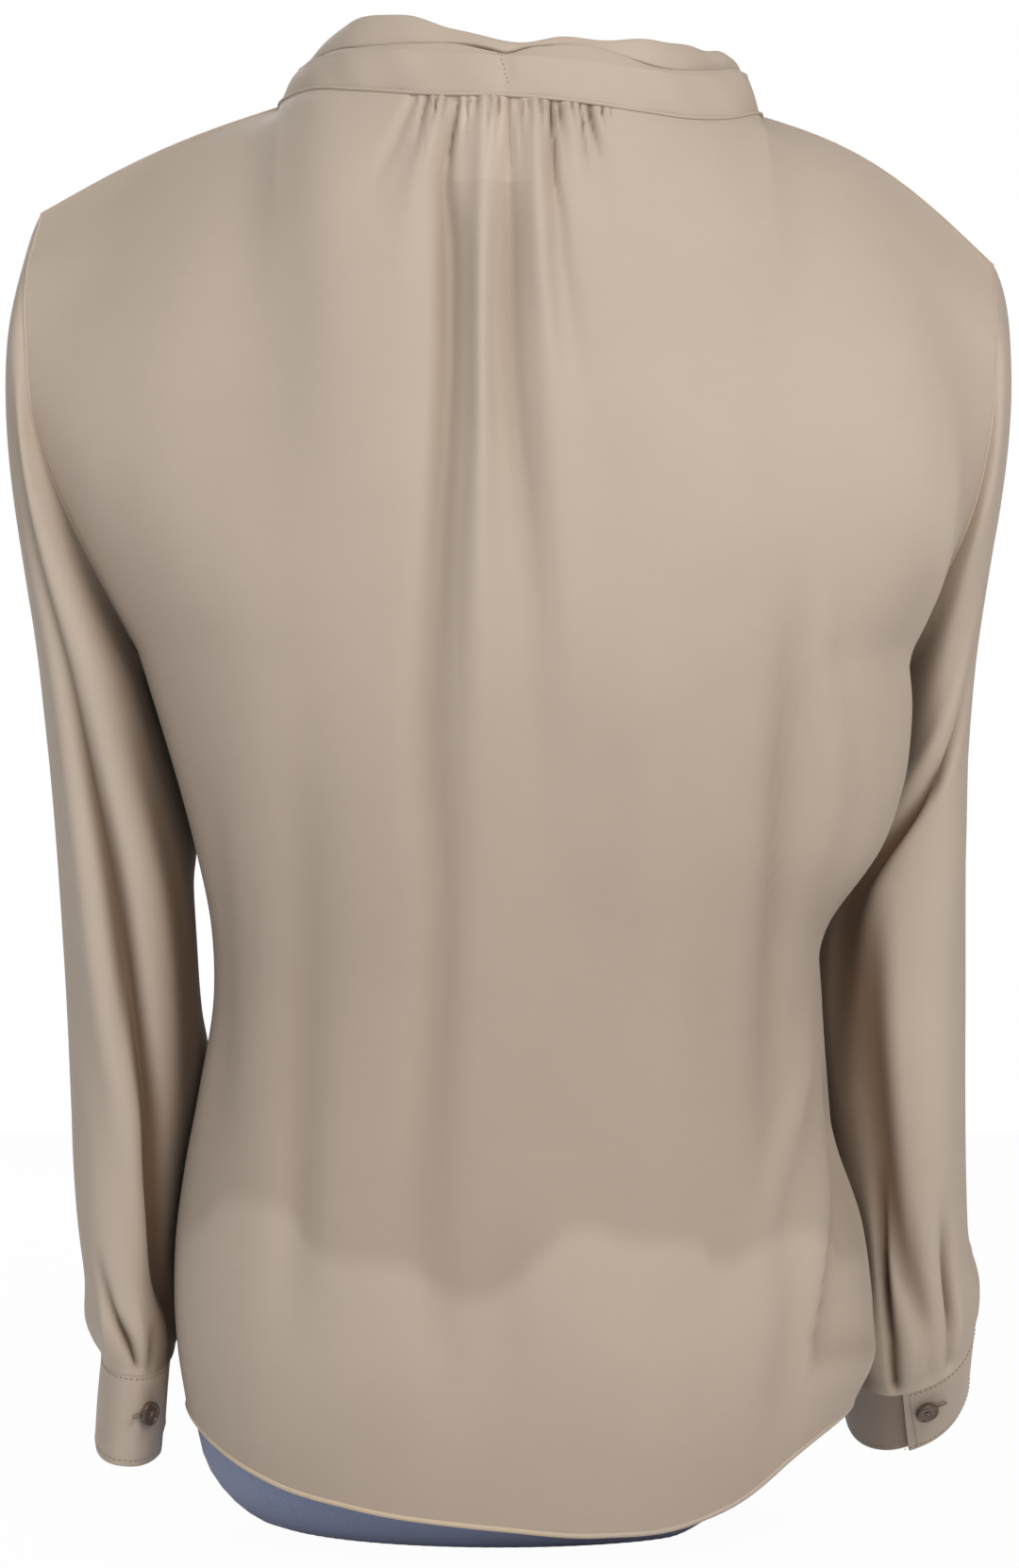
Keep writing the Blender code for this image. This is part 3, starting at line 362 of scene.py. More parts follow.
# The courses of the creases, each from its top down. push is how far it stands out of the cloth, and a
# trough's is negative. Those of the back follow what the camera sees.
BACK_CREASES = tables(
    "z x width push",
    {
        "outermost_left_dip": (
            (0.662, 0.0415, 0.002, -0.0012), (0.64, 0.049, 0.004, -0.0012), (0.618, 0.0575, 0.006, -0.0006),
            (0.59, 0.062, 0.008, 0),
        ),
        "left_ridge": (
            (0.662, 0.0285, 0.0036, 0.0014), (0.64, 0.0325, 0.005, 0.0018), (0.628, 0.0357, 0.0062, 0.0016),
            (0.592, 0.041, 0.009, 0.0008), (0.53, 0.045, 0.012, 0),
        ),
        "left_trough": (
            (0.662, 0.0233, 0.002, -0.0014), (0.64, 0.0248, 0.003, -0.0028), (0.623, 0.0262, 0.0042, -0.004),
            (0.597, 0.0232, 0.006, -0.0052), (0.544, 0.0225, 0.0066, -0.005), (0.454, 0.0262, 0.008, -0.0044),
            (0.371, 0.0285, 0.0105, -0.0036), (0.296, 0.0245, 0.0095, -0.0032), (0.22, 0.027, 0.011, -0.003),
            (0.15, 0.0275, 0.015, -0.0024), (0.105, 0.0218, 0.013, -0.0018), (0.055, 0.02, 0.013, 0),
        ),
        "middle_ridge": (
            (0.662, 0.0046, 0.0062, 0.0018), (0.64, 0.0062, 0.0064, 0.0028), (0.612, 0.0078, 0.006, 0.0036),
            (0.564, 0.0088, 0.0056, 0.0038), (0.5, 0.0084, 0.0062, 0.0034), (0.454, 0.0078, 0.0085, 0.003),
            (0.371, 0.0067, 0.012, 0.0016), (0.26, 0.006, 0.016, 0),
        ),
        "right_trough": (
            (0.662, -0.0048, 0.0017, -0.0012), (0.63, -0.0024, 0.0028, -0.0026),
            (0.597, -0.004, 0.005, -0.0042), (0.544, -0.0052, 0.0062, -0.004), (0.454, -0.014, 0.0078, -0.0028),
            (0.371, -0.0205, 0.01, -0.0013), (0.29, -0.024, 0.012, 0),
        ),
        "right_ridge": (
            (0.662, -0.015, 0.0048, 0.0018), (0.62, -0.0158, 0.0052, 0.0028), (0.597, -0.0176, 0.0058, 0.0028),
            (0.544, -0.0226, 0.0076, 0.002), (0.454, -0.03, 0.011, 0.0009), (0.37, -0.034, 0.014, 0),
        ),
        "right_edge_dip": (
            (0.662, -0.0222, 0.0017, -0.0016), (0.62, -0.0228, 0.0026, -0.0028),
            (0.606, -0.025, 0.0034, -0.0024), (0.586, -0.0262, 0.0046, -0.0022), (0.562, -0.03, 0.006, -0.0016),
            (0.52, -0.036, 0.008, 0),
        ),
        "second_right_ridge": (
            (0.662, -0.0305, 0.003, 0.0012), (0.636, -0.0322, 0.004, 0.0009), (0.606, -0.0345, 0.005, 0),
        ),
        "outermost_right_dip": (
            (0.662, -0.0375, 0.0022, -0.0015), (0.638, -0.0422, 0.0044, -0.0015),
            (0.618, -0.0462, 0.0062, -0.0008), (0.585, -0.05, 0.008, 0),
        ),
        "left_flank_dip": (
            (0.36, 0.133, 0.008, 0), (0.3, 0.13, 0.0065, -0.0016), (0.23, 0.1285, 0.007, -0.0018),
            (0.165, 0.129, 0.01, 0),
        ),
        "left_hip_dip": (
            (0.42, 0.086, 0.016, 0), (0.31, 0.0865, 0.013, -0.0022), (0.22, 0.088, 0.012, -0.0026),
            (0.15, 0.0905, 0.009, -0.0024), (0.09, 0.093, 0.012, 0),
        ),
        "right_hip_roll": (
            (0.48, -0.07, 0.028, 0), (0.38, -0.078, 0.026, 0.0022), (0.26, -0.082, 0.024, 0.0026),
            (0.17, -0.086, 0.022, 0.0014), (0.1, -0.088, 0.022, 0),
        ),
        "right_flank_dip": (
            (0.46, -0.14, 0.012, 0), (0.38, -0.131, 0.0085, -0.0034), (0.3, -0.126, 0.008, -0.0038),
            (0.22, -0.124, 0.009, -0.0026), (0.15, -0.126, 0.011, 0),
        ),
        "right_flank_ridge": (
            (0.46, -0.147, 0.005, 0), (0.41, -0.144, 0.0042, 0.002), (0.33, -0.142, 0.004, 0.0024),
            (0.28, -0.138, 0.005, 0),
        ),
        "right_side_pleat": (
            (0.255, -0.145, 0.005, 0), (0.22, -0.14, 0.0048, 0.0018), (0.18, -0.128, 0.0052, 0.002),
            (0.145, -0.12, 0.006, 0.001), (0.11, -0.117, 0.007, 0),
        ),
        "right_tail_dip": (
            (0.15, -0.135, 0.008, 0), (0.11, -0.133, 0.008, -0.0022), (0.07, -0.128, 0.01, -0.002),
            (0.035, -0.124, 0.012, 0),
        ),
        "centre_tail_dip": (
            (0.18, -0.004, 0.016, 0), (0.13, -0.006, 0.013, -0.0016), (0.08, -0.008, 0.015, -0.0012),
            (0.04, -0.008, 0.018, 0),
        ),
    },
)
FRONT_CREASES = tables(
    "z x width push",
    {
        "left_fall": (
            (0.62, 0.07, 0.01, 0), (0.56, 0.062, 0.012, -0.004), (0.4, 0.052, 0.015, -0.0055),
            (0.2, 0.047, 0.018, -0.0045), (0.06, 0.044, 0.02, 0),
        ),
        "left_inner_roll": (
            (0.5, 0.032, 0.009, 0), (0.4, 0.026, 0.012, 0.0035), (0.22, 0.018, 0.015, 0.003),
            (0.1, 0.016, 0.018, 0),
        ),
        "middle_fall": (
            (0.495, -0.005, 0.008, -0.001), (0.4, -0.014, 0.011, -0.0045), (0.2, -0.01, 0.015, -0.0045),
            (0.05, -0.008, 0.018, 0),
        ),
        "right_fall": (
            (0.62, -0.08, 0.011, 0), (0.54, -0.07, 0.013, -0.0045), (0.38, -0.06, 0.016, -0.0055),
            (0.18, -0.052, 0.019, -0.004), (0.06, -0.05, 0.02, 0),
        ),
        "left_flank_fall": (
            (0.46, 0.112, 0.012, 0), (0.36, 0.106, 0.015, -0.004), (0.18, 0.098, 0.018, -0.004),
            (0.06, 0.094, 0.02, 0),
        ),
        "right_flank_fall": (
            (0.46, -0.114, 0.012, 0), (0.34, -0.106, 0.015, -0.004), (0.16, -0.098, 0.018, -0.004),
            (0.05, -0.094, 0.02, 0),
        ),
    },
)


# How much stronger the creases are made than their tables say, and how far they lie from the lit side
RIDGE_GAIN, TROUGH_GAIN = 1.8, 1.4
LIT_SIDE_SHIFT = 0.45

# The height of the long and the short waves of cloth that hangs free
SLOW_WAVES, QUICK_WAVES = 0.00045, 0.00018

# The depth at which a trough has its full painted shade, and how dark that shade is
CREASE_SHADE, GATHER_SHADE, SLEEVE_CREASE_SHADE = (0.0060, 0.38), (0.0022, 0.60), (0.0085, 0.95)
# Painted shade on a sleeve's inner side, which faces the body
INNER_SIDE_SHADE = 0.55


def crease_push(place, creases):
    """How far the creases move each place out of the smooth cloth."""
    x, z = place[..., 0], place[..., 2]
    push = 0
    for crease in creases.values():
        width = read(crease, "width", z)
        push = push + read(crease, "push", z) * bell(x - read(crease, "x", z) - LIT_SIDE_SHIFT * width, width)
    return push * np.where(push > 0, RIDGE_GAIN, TROUGH_GAIN)


def gather_push(place):
    """The small gathers under the back neck seam, uneven in width and length."""
    x, y, z = place[..., 0], place[..., 1], place[..., 2]
    along = (GATHERS_LEFT - x) / (GATHERS_LEFT - GATHERS_RIGHT) * NECK_GATHERS
    below = np.maximum(read(NECK_SEAM, "z", x) - z, 0)
    length = GATHER_LENGTH * (1 + 0.5 * np.sin(1.9 * np.round(along)))
    lean = 1.5 * (along / NECK_GATHERS - 0.5) * below / GATHER_LENGTH
    wave = np.cos(2 * np.pi * (along - lean + 0.12 * np.sin(2.3 * along)))
    ends = ease(along) * ease(NECK_GATHERS - along) * (y > 0)
    slit = (0.5 * (1 - wave)) ** GATHER_SHARPNESS
    uneven = 0.75 + 0.25 * np.sin(3.1 * np.round(along) + 0.7)
    return -GATHER_DEPTH * slit * uneven * ends * np.exp(-((below / length) ** 2))


def trough_shade(push, tone):
    """The painted shade of a trough by its depth. tone gives the depth at which it is full, and how dark it is
    then.
    """
    deepest, darkest = tone
    return np.clip(-push / deepest, 0, 1) * darkest


def crepe_unevenness(place):
    """The faint, long unevenness of soft cloth that hangs free."""
    x, y, z = (place[..., axis] * 1000 for axis in range(3))
    slow = np.sin(x / 17 + np.sin(z / 61)) * np.sin(z / 83 + y / 29)
    quick = np.sin(x / 7.3 + 1.7 * np.sin(z / 47)) * np.sin(z / 55 + x / 31)
    return SLOW_WAVES * slow + QUICK_WAVES * quick


# Where the hanging cloth comes to rest on the form's hips: below this line the hanging cloth's painted shade is
# left out, so it shows as a lighter patch.
HIP_LINE = table(
    "x z",
    (-0.15, 0.132), (-0.132, 0.147), (-0.111, 0.139), (-0.096, 0.134), (-0.085, 0.143), (-0.052, 0.146),
    (-0.035, 0.151), (-0.018, 0.141), (-0.001, 0.126), (0.015, 0.12), (0.032, 0.125), (0.045, 0.134),
    (0.074, 0.136), (0.087, 0.141), (0.102, 0.158), (0.125, 0.16), (0.136, 0.15), (0.15, 0.14),
)
HIP_LINE_X = (-0.150, 0.150)
HIP_LINE_Z = (0.100, 0.180)
HIP_LINE_SOFTNESS = 0.007

# The blank neck label, from its left and bottom to its right and top
LABEL_BOX = ((-0.0110, 0.6205), (0.0238, 0.6700))
LABEL_TAB = ((0.0155, 0.6440), (0.0204, 0.6560))
LABEL_SOFTNESS, TAB_SOFTNESS = 0.0007, 0.0006


def add_node(tree, kind, inputs=(), **settings):
    """A node with its settings, its inputs given as values or as the sockets that feed them."""
    made = tree.nodes.new(kind)
    for name, value in settings.items():
        setattr(made, name, value)
    for key, value in dict(inputs).items():
        if isinstance(value, bpy.types.NodeSocket):
            tree.links.new(value, made.inputs[key])
        else:
            made.inputs[key].default_value = value
    return made


def math_node(tree, operation, *values):
    return add_node(tree, "ShaderNodeMath", enumerate(values), operation=operation).outputs[0]


def mix_colours(tree, factor, first, second):
    """One colour laid over another. Each may be a colour or a socket."""
    made = add_node(tree, "ShaderNodeMix", {"Factor": factor}, data_type="RGBA")
    for socket, value in ((made.inputs[6], first), (made.inputs[7], second)):
        if isinstance(value, bpy.types.NodeSocket):
            tree.links.new(value, socket)
        else:
            socket.default_value = (*value, 1)
    return made.outputs[2]


def step_node(tree, value, start, end):
    """0 before start and 1 after end, and smooth between."""
    inputs = {"Value": value, "From Min": start, "From Max": end}
    return add_node(tree, "ShaderNodeMapRange", inputs, interpolation_type="SMOOTHSTEP").outputs[0]


def noise(tree, place, scale, detail, distortion=0.0):
    inputs = {"Vector": place, "Scale": scale, "Detail": detail, "Distortion": distortion}
    return add_node(tree, "ShaderNodeTexNoise", inputs).outputs["Fac"]


def cloth_grain():
    """A node group for woven or knitted cloth: a fine height for bump, and a slow unevenness of tone."""
    group = bpy.data.node_groups.get("cloth_grain")
    if group:
        return group
    group = bpy.data.node_groups.new("cloth_grain", "ShaderNodeTree")
    for name, way, kind in (
        ("Place", "INPUT", "Vector"),
        ("Threads", "INPUT", "Float"),
        ("Height", "OUTPUT", "Float"),
        ("Tone", "OUTPUT", "Float"),
    ):
        group.interface.new_socket(name, in_out=way, socket_type=f"NodeSocket{kind}")
    place, threads = group.nodes.new("NodeGroupInput").outputs[:2]
    result = group.nodes.new("NodeGroupOutput").inputs

    wave = {"Vector": place, "Scale": threads, "Distortion": 1.6, "Detail": 1.0}
    waves = (add_node(group, "ShaderNodeTexWave", wave, bands_direction=way) for way in "XZ")
    warp, weft = (made.outputs["Fac"] for made in waves)
    crinkle = noise(group, place, math_node(group, "MULTIPLY", threads, 0.55), 3.0)
    weave = math_node(group, "MULTIPLY", warp, weft)
    group.links.new(math_node(group, "MULTIPLY_ADD", crinkle, 1.4, weave), result["Height"])
    slubs = add_node(group, "ShaderNodeMapping", {"Vector": place, "Scale": (1, 1, 14)}).outputs[0]
    streaks, clouds = noise(group, slubs, 55.0, 2.0), noise(group, place, 14.0, 2.0)
    group.links.new(math_node(group, "MULTIPLY_ADD", streaks, 0.35, clouds), result["Tone"])
    return group


def box_mask(tree, x, z, box, softness):
    """1 inside a box of x and z, and 0 outside it, with soft edges."""
    inside = None
    for value, (low, high) in zip((x, z), zip(*box)):
        for edge, inwards in ((low, softness), (high, -softness)):
            side = step_node(tree, value, edge - inwards, edge + inwards)
            inside = side if inside is None else math_node(tree, "MULTIPLY", inside, side)
    return inside


def hip_mask(tree, x, z):
    """1 where the cloth rests on the form's hips, below an uneven line, and the back's painted shade is left
    out.
    """
    (left, right), (low, high) = HIP_LINE_X, HIP_LINE_Z
    across = add_node(tree, "ShaderNodeMapRange", {"Value": x, "From Min": left, "From Max": right})
    line = add_node(tree, "ShaderNodeFloatCurve", {"Value": across.outputs[0]})
    curve = line.mapping.curves[0]
    places = [((at - left) / (right - left), (up - low) / (high - low)) for at, up in zip(*HIP_LINE.values())]
    curve.points[0].location, curve.points[1].location = places[0], places[-1]
    for place in places[1:-1]:
        curve.points.new(*place)
    line.mapping.update()
    height = math_node(tree, "MULTIPLY_ADD", line.outputs[0], high - low, low)
    return step_node(tree, math_node(tree, "SUBTRACT", height, z), -HIP_LINE_SOFTNESS, HIP_LINE_SOFTNESS)


def new_material(name):
    """A material's tree, its one Principled shader and its object-space place."""
    made = bpy.data.materials.new(name)
    made.use_nodes = True
    tree = made.node_tree
    return tree, tree.nodes["Principled BSDF"], add_node(tree, "ShaderNodeTexCoord").outputs["Object"]


def toned(colour, share):
    """A colour made paler or deeper, up to white."""
    return [min(part * share, 1) for part in colour]


def set_values(shader, values):
    """Gives a shader's own sockets their constant values."""
    for name, value in values.items():
        shader.inputs[name].default_value = value


# How strongly the threads of each cloth roughen it, and how high they stand
CREPE_BUMP, JERSEY_BUMP = (0.22, 0.00012), (0.4, 0.0002)
JERSEY_THREADS = 1100.0


def add_grain(tree, shader, place, threads, strength, distance):
    """Roughens a cloth with its threads, and gives the unevenness of their tone."""
    inputs = {"Place": place, "Threads": threads}
    grain = add_node(tree, "ShaderNodeGroup", inputs, node_tree=cloth_grain()).outputs
    inputs = {"Height": grain["Height"], "Strength": strength, "Distance": distance}
    tree.links.new(add_node(tree, "ShaderNodeBump", inputs).outputs[0], shader.inputs["Normal"])
    return grain["Tone"]


def cloth_material(name, look, colour, shadow, back_shade_and_label=False):
    """Cloth with painted shade: its tint deepens toward the shadow colour by the darkening stored in its hollow
    attribute. The flag for the back adds its own painted shade, the label seen through it and a painted
    highlight on the label's tab.
    """
    tree, shader, place = new_material(name)
    uneven = add_grain(tree, shader, place, look.threads_per_metre, *CREPE_BUMP)
    hollow = add_node(tree, "ShaderNodeAttribute", attribute_name="hollow").outputs["Fac"]
    tint = mix_colours(tree, step_node(tree, uneven, 0.35, 1.05), colour, toned(colour, 0.94))
    # Painted shade: the tint is mixed toward the shadow colour in folds and recesses.
    tint = mix_colours(tree, step_node(tree, hollow, 0.0, 1.0), tint, shadow)
    if back_shade_and_label:
        tint = paint_back_shade_and_label(tree, place, tint, colour, shadow)
    tree.links.new(tint, shader.inputs["Base Color"])
    set_values(
        shader,
        {
            "Roughness": 0.62,
            "Specular IOR Level": 0.28,
            "Sheen Weight": look.sheen,
            "Sheen Roughness": 0.45,
            "Sheen Tint": (1.0, 0.93, 0.84, 1),
        },
    )


# Painted shade on the cloth that hangs free below the chest and toward its hem, the lighter label seen through
# the back, and a painted highlight on the label's tab
HANGING_SHADE, HEM_SHADE, LABEL_TONE, TAB_HIGHLIGHT = 0.22, 0.14, 0.30, 0.55

# Between which heights the two painted shades come in, and between which depths the back takes over from the
# sides
HANGS_BETWEEN, HEM_BETWEEN, BACK_BETWEEN = (0.52, 0.20), (0.115, 0.015), (0.015, 0.060)


def paint_back_shade_and_label(tree, place, tint, colour, shadow):
    """The back's tint with painted shade where it hangs free below the chest, left out where it rests on the
    form's hips, more painted shade toward the hem, the label seen through it, and a painted highlight on the
    label's tab.
    """
    x, y, z = add_node(tree, "ShaderNodeSeparateXYZ", {0: place}).outputs
    resting = hip_mask(tree, x, z)
    # Painted shade where the back hangs free of the form, left out where it rests on the hips.
    hanging_shade = math_node(tree, "MULTIPLY", step_node(tree, z, *HANGS_BETWEEN), HANGING_SHADE)
    hanging_shade = math_node(tree, "MULTIPLY", hanging_shade, math_node(tree, "SUBTRACT", 1.0, resting))
    hanging_shade = math_node(tree, "MULTIPLY", hanging_shade, step_node(tree, y, *BACK_BETWEEN))
    tint = mix_colours(tree, hanging_shade, tint, shadow)
    # Painted shade, darker toward the hem.
    shade_near_hem = math_node(tree, "MULTIPLY", step_node(tree, z, *HEM_BETWEEN), HEM_SHADE)
    tint = mix_colours(tree, shade_near_hem, tint, shadow)
    label = math_node(tree, "MULTIPLY", box_mask(tree, x, z, LABEL_BOX, LABEL_SOFTNESS), LABEL_TONE)
    # The label is seen lighter through the thin back; its tab gets a painted highlight.
    tab_highlight = math_node(tree, "MULTIPLY", box_mask(tree, x, z, LABEL_TAB, TAB_SOFTNESS), TAB_HIGHLIGHT)
    return mix_colours(tree, math_node(tree, "MAXIMUM", label, tab_highlight), tint, toned(colour, 1.22))


def show(mesh_object, finish, node_name):
    """Gives a piece its finish in a slot of its own and its body, and hides the solid that it stands for."""
    mesh_object.data.materials.clear()
    mesh_object.data.materials.append(bpy.data.materials[finish])
    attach(mesh_object, "root")
    if node_name:
        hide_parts(node_name)


def sewn_on(mesh_object, finish):
    """Gives a piece of sewing, which stands for no solid, its finish and its body."""
    show(mesh_object, finish, None)


def plain_shape(add, name, **how):
    """A new plain shape, as the start of a piece."""
    bpy.ops.object.select_all(action="DESELECT")
    add(**how)
    made = bpy.context.object
    made.name = made.data.name = name
    return made


def cylinder(name, corners, radius, depth, middle):
    size = {"vertices": corners, "radius": radius, "depth": depth}
    return plain_shape(bpy.ops.mesh.primitive_cylinder_add, name, location=middle, **size)


def disc_shape(name, corners, radius):
    size = {"vertices": corners, "radius": radius}
    return plain_shape(bpy.ops.mesh.primitive_circle_add, name, fill_type="NGON", **size)


def select_only(mesh_object):
    bpy.ops.object.select_all(action="DESELECT")
    mesh_object.select_set(True)
    bpy.context.view_layer.objects.active = mesh_object


def apply_modifiers(mesh_object):
    select_only(mesh_object)
    for modifier in list(mesh_object.modifiers):
        bpy.ops.object.modifier_apply(modifier=modifier.name)


def smooth(mesh_object, degrees):
    select_only(mesh_object)
    bpy.ops.object.shade_smooth_by_angle(angle=math.radians(degrees))


def grid_normals(grid, around=False):
    """Unit normals of a grid of places, along its columns' direction crossed with its rows'."""
    if around:
        wrapped = np.concatenate([grid[:, -1:], grid, grid[:, :1]], axis=1)
        across = (wrapped[:, 2:] - wrapped[:, :-2]) / 2
    else:
        across = np.gradient(grid, axis=1)
    return unit(np.cross(across, np.gradient(grid, axis=0)))


def grid_faces(rows, columns, around):
    """The faces between a grid's places, row by row."""
    faces = []
    for low in range(0, (rows - 1) * columns, columns):
        high = low + columns
        for column in range(columns if around else columns - 1):
            after = (column + 1) % columns
            faces.append([low + column, low + after, high + after, high + column])
    return faces


def set_hollow(mesh, tone):
    """Stores each point's painted darkening, which the finish mixes in toward its second colour: painted shade
    in folds and recesses, and on the hem the share of plain crepe beside its paler edge.
    """
    stored = mesh.attributes.new("hollow", "FLOAT", "POINT")
    stored.data.foreach_set("value", np.ascontiguousarray(tone, np.float32).ravel())


def grid_object(name, grid, hollow, faces):
    """A mesh on a grid of places, with the painted shade of its hollows."""
    mesh = bpy.data.meshes.new(name)
    mesh.from_pydata(grid.reshape(-1, 3).tolist(), [], faces)
    set_hollow(mesh, hollow)
    made = bpy.data.objects.new(name, mesh)
    bpy.context.collection.objects.link(made)
    return made


def cloth_object(name, grid, hollow, around=False, thickness=SHEET, flip=False):
    """A sheet through a grid of places, given a thickness on its inner side and the painted shade of its
    hollows.
    """
    faces = grid_faces(*grid.shape[:2], around)
    made = grid_object(name, grid, hollow, [face[::-1] for face in faces] if flip else faces)
    wall = made.modifiers.new("wall", "SOLIDIFY")
    wall.thickness, wall.offset = thickness, -1
    apply_modifiers(made)
    smooth(made, 60)
    return made


def tube_object(name, course, radius, sides=6):
    """A thin round tube along a course, as a rolled edge, a seam's ridge or a thread."""
    curve = bpy.data.curves.new(name, "CURVE")
    curve.dimensions = "3D"
    curve.bevel_depth, curve.bevel_resolution = radius, max(sides // 2 - 2, 0)
    curve.use_fill_caps = True
    line = curve.splines.new("POLY")
    line.points.add(len(course) - 1)
    line.points.foreach_set("co", np.concatenate([course, np.ones((len(course), 1))], axis=1).ravel())
    made = bpy.data.objects.new(name, curve)
    bpy.context.collection.objects.link(made)
    select_only(made)
    bpy.ops.object.convert(target="MESH")
    made = bpy.context.object
    smooth(made, 60)
    return made


def join_objects(name, parts):
    """Several meshes as one piece."""
    bpy.ops.object.select_all(action="DESELECT")
    for part in parts:
        part.select_set(True)
    bpy.context.view_layer.objects.active = parts[0]
    bpy.ops.object.join()
    joined = bpy.context.object
    joined.name = joined.data.name = name
    return joined


def copied(first, name):
    """A copy of a modelled piece, with its own mesh."""
    made = first.copy()
    made.data = first.data.copy()
    made.name = made.data.name = name
    bpy.context.collection.objects.link(made)
    return made


def resampled(course, spacing):
    """Places at even spacing along a course."""
    lengths = np.concatenate([[0], np.cumsum(np.linalg.norm(np.diff(course, axis=0), axis=1))])
    at = np.arange(spacing / 2, lengths[-1], spacing)
    return np.stack([np.interp(at, lengths, course[:, axis]) for axis in range(3)], axis=1)


def stitch_row(name, course, pitch, length, thickness):
    """A row of stitches along a course: one is modelled, and the rest are its copies."""
    places = resampled(course, pitch / 2)
    first = plain_shape(bpy.ops.mesh.primitive_uv_sphere_add, "stitch", segments=6, ring_count=4, radius=0.5)
    first.scale = (length, thickness, thickness)
    bpy.ops.object.transform_apply(location=False, rotation=False, scale=True)
    copies = []
    for i in range(1, len(places) - 1, 2):
        turn = Vector(places[i + 1] - places[i - 1]).to_track_quat("X", "Z")
        copies.append(copied(first, name))
        copies[-1].matrix_world = Matrix.Translation(places[i]) @ turn.to_matrix().to_4x4()
    bpy.data.objects.remove(first)
    made = join_objects(name, copies)
    select_only(made)
    bpy.ops.object.transform_apply()
    smooth(made, 80)
    return made


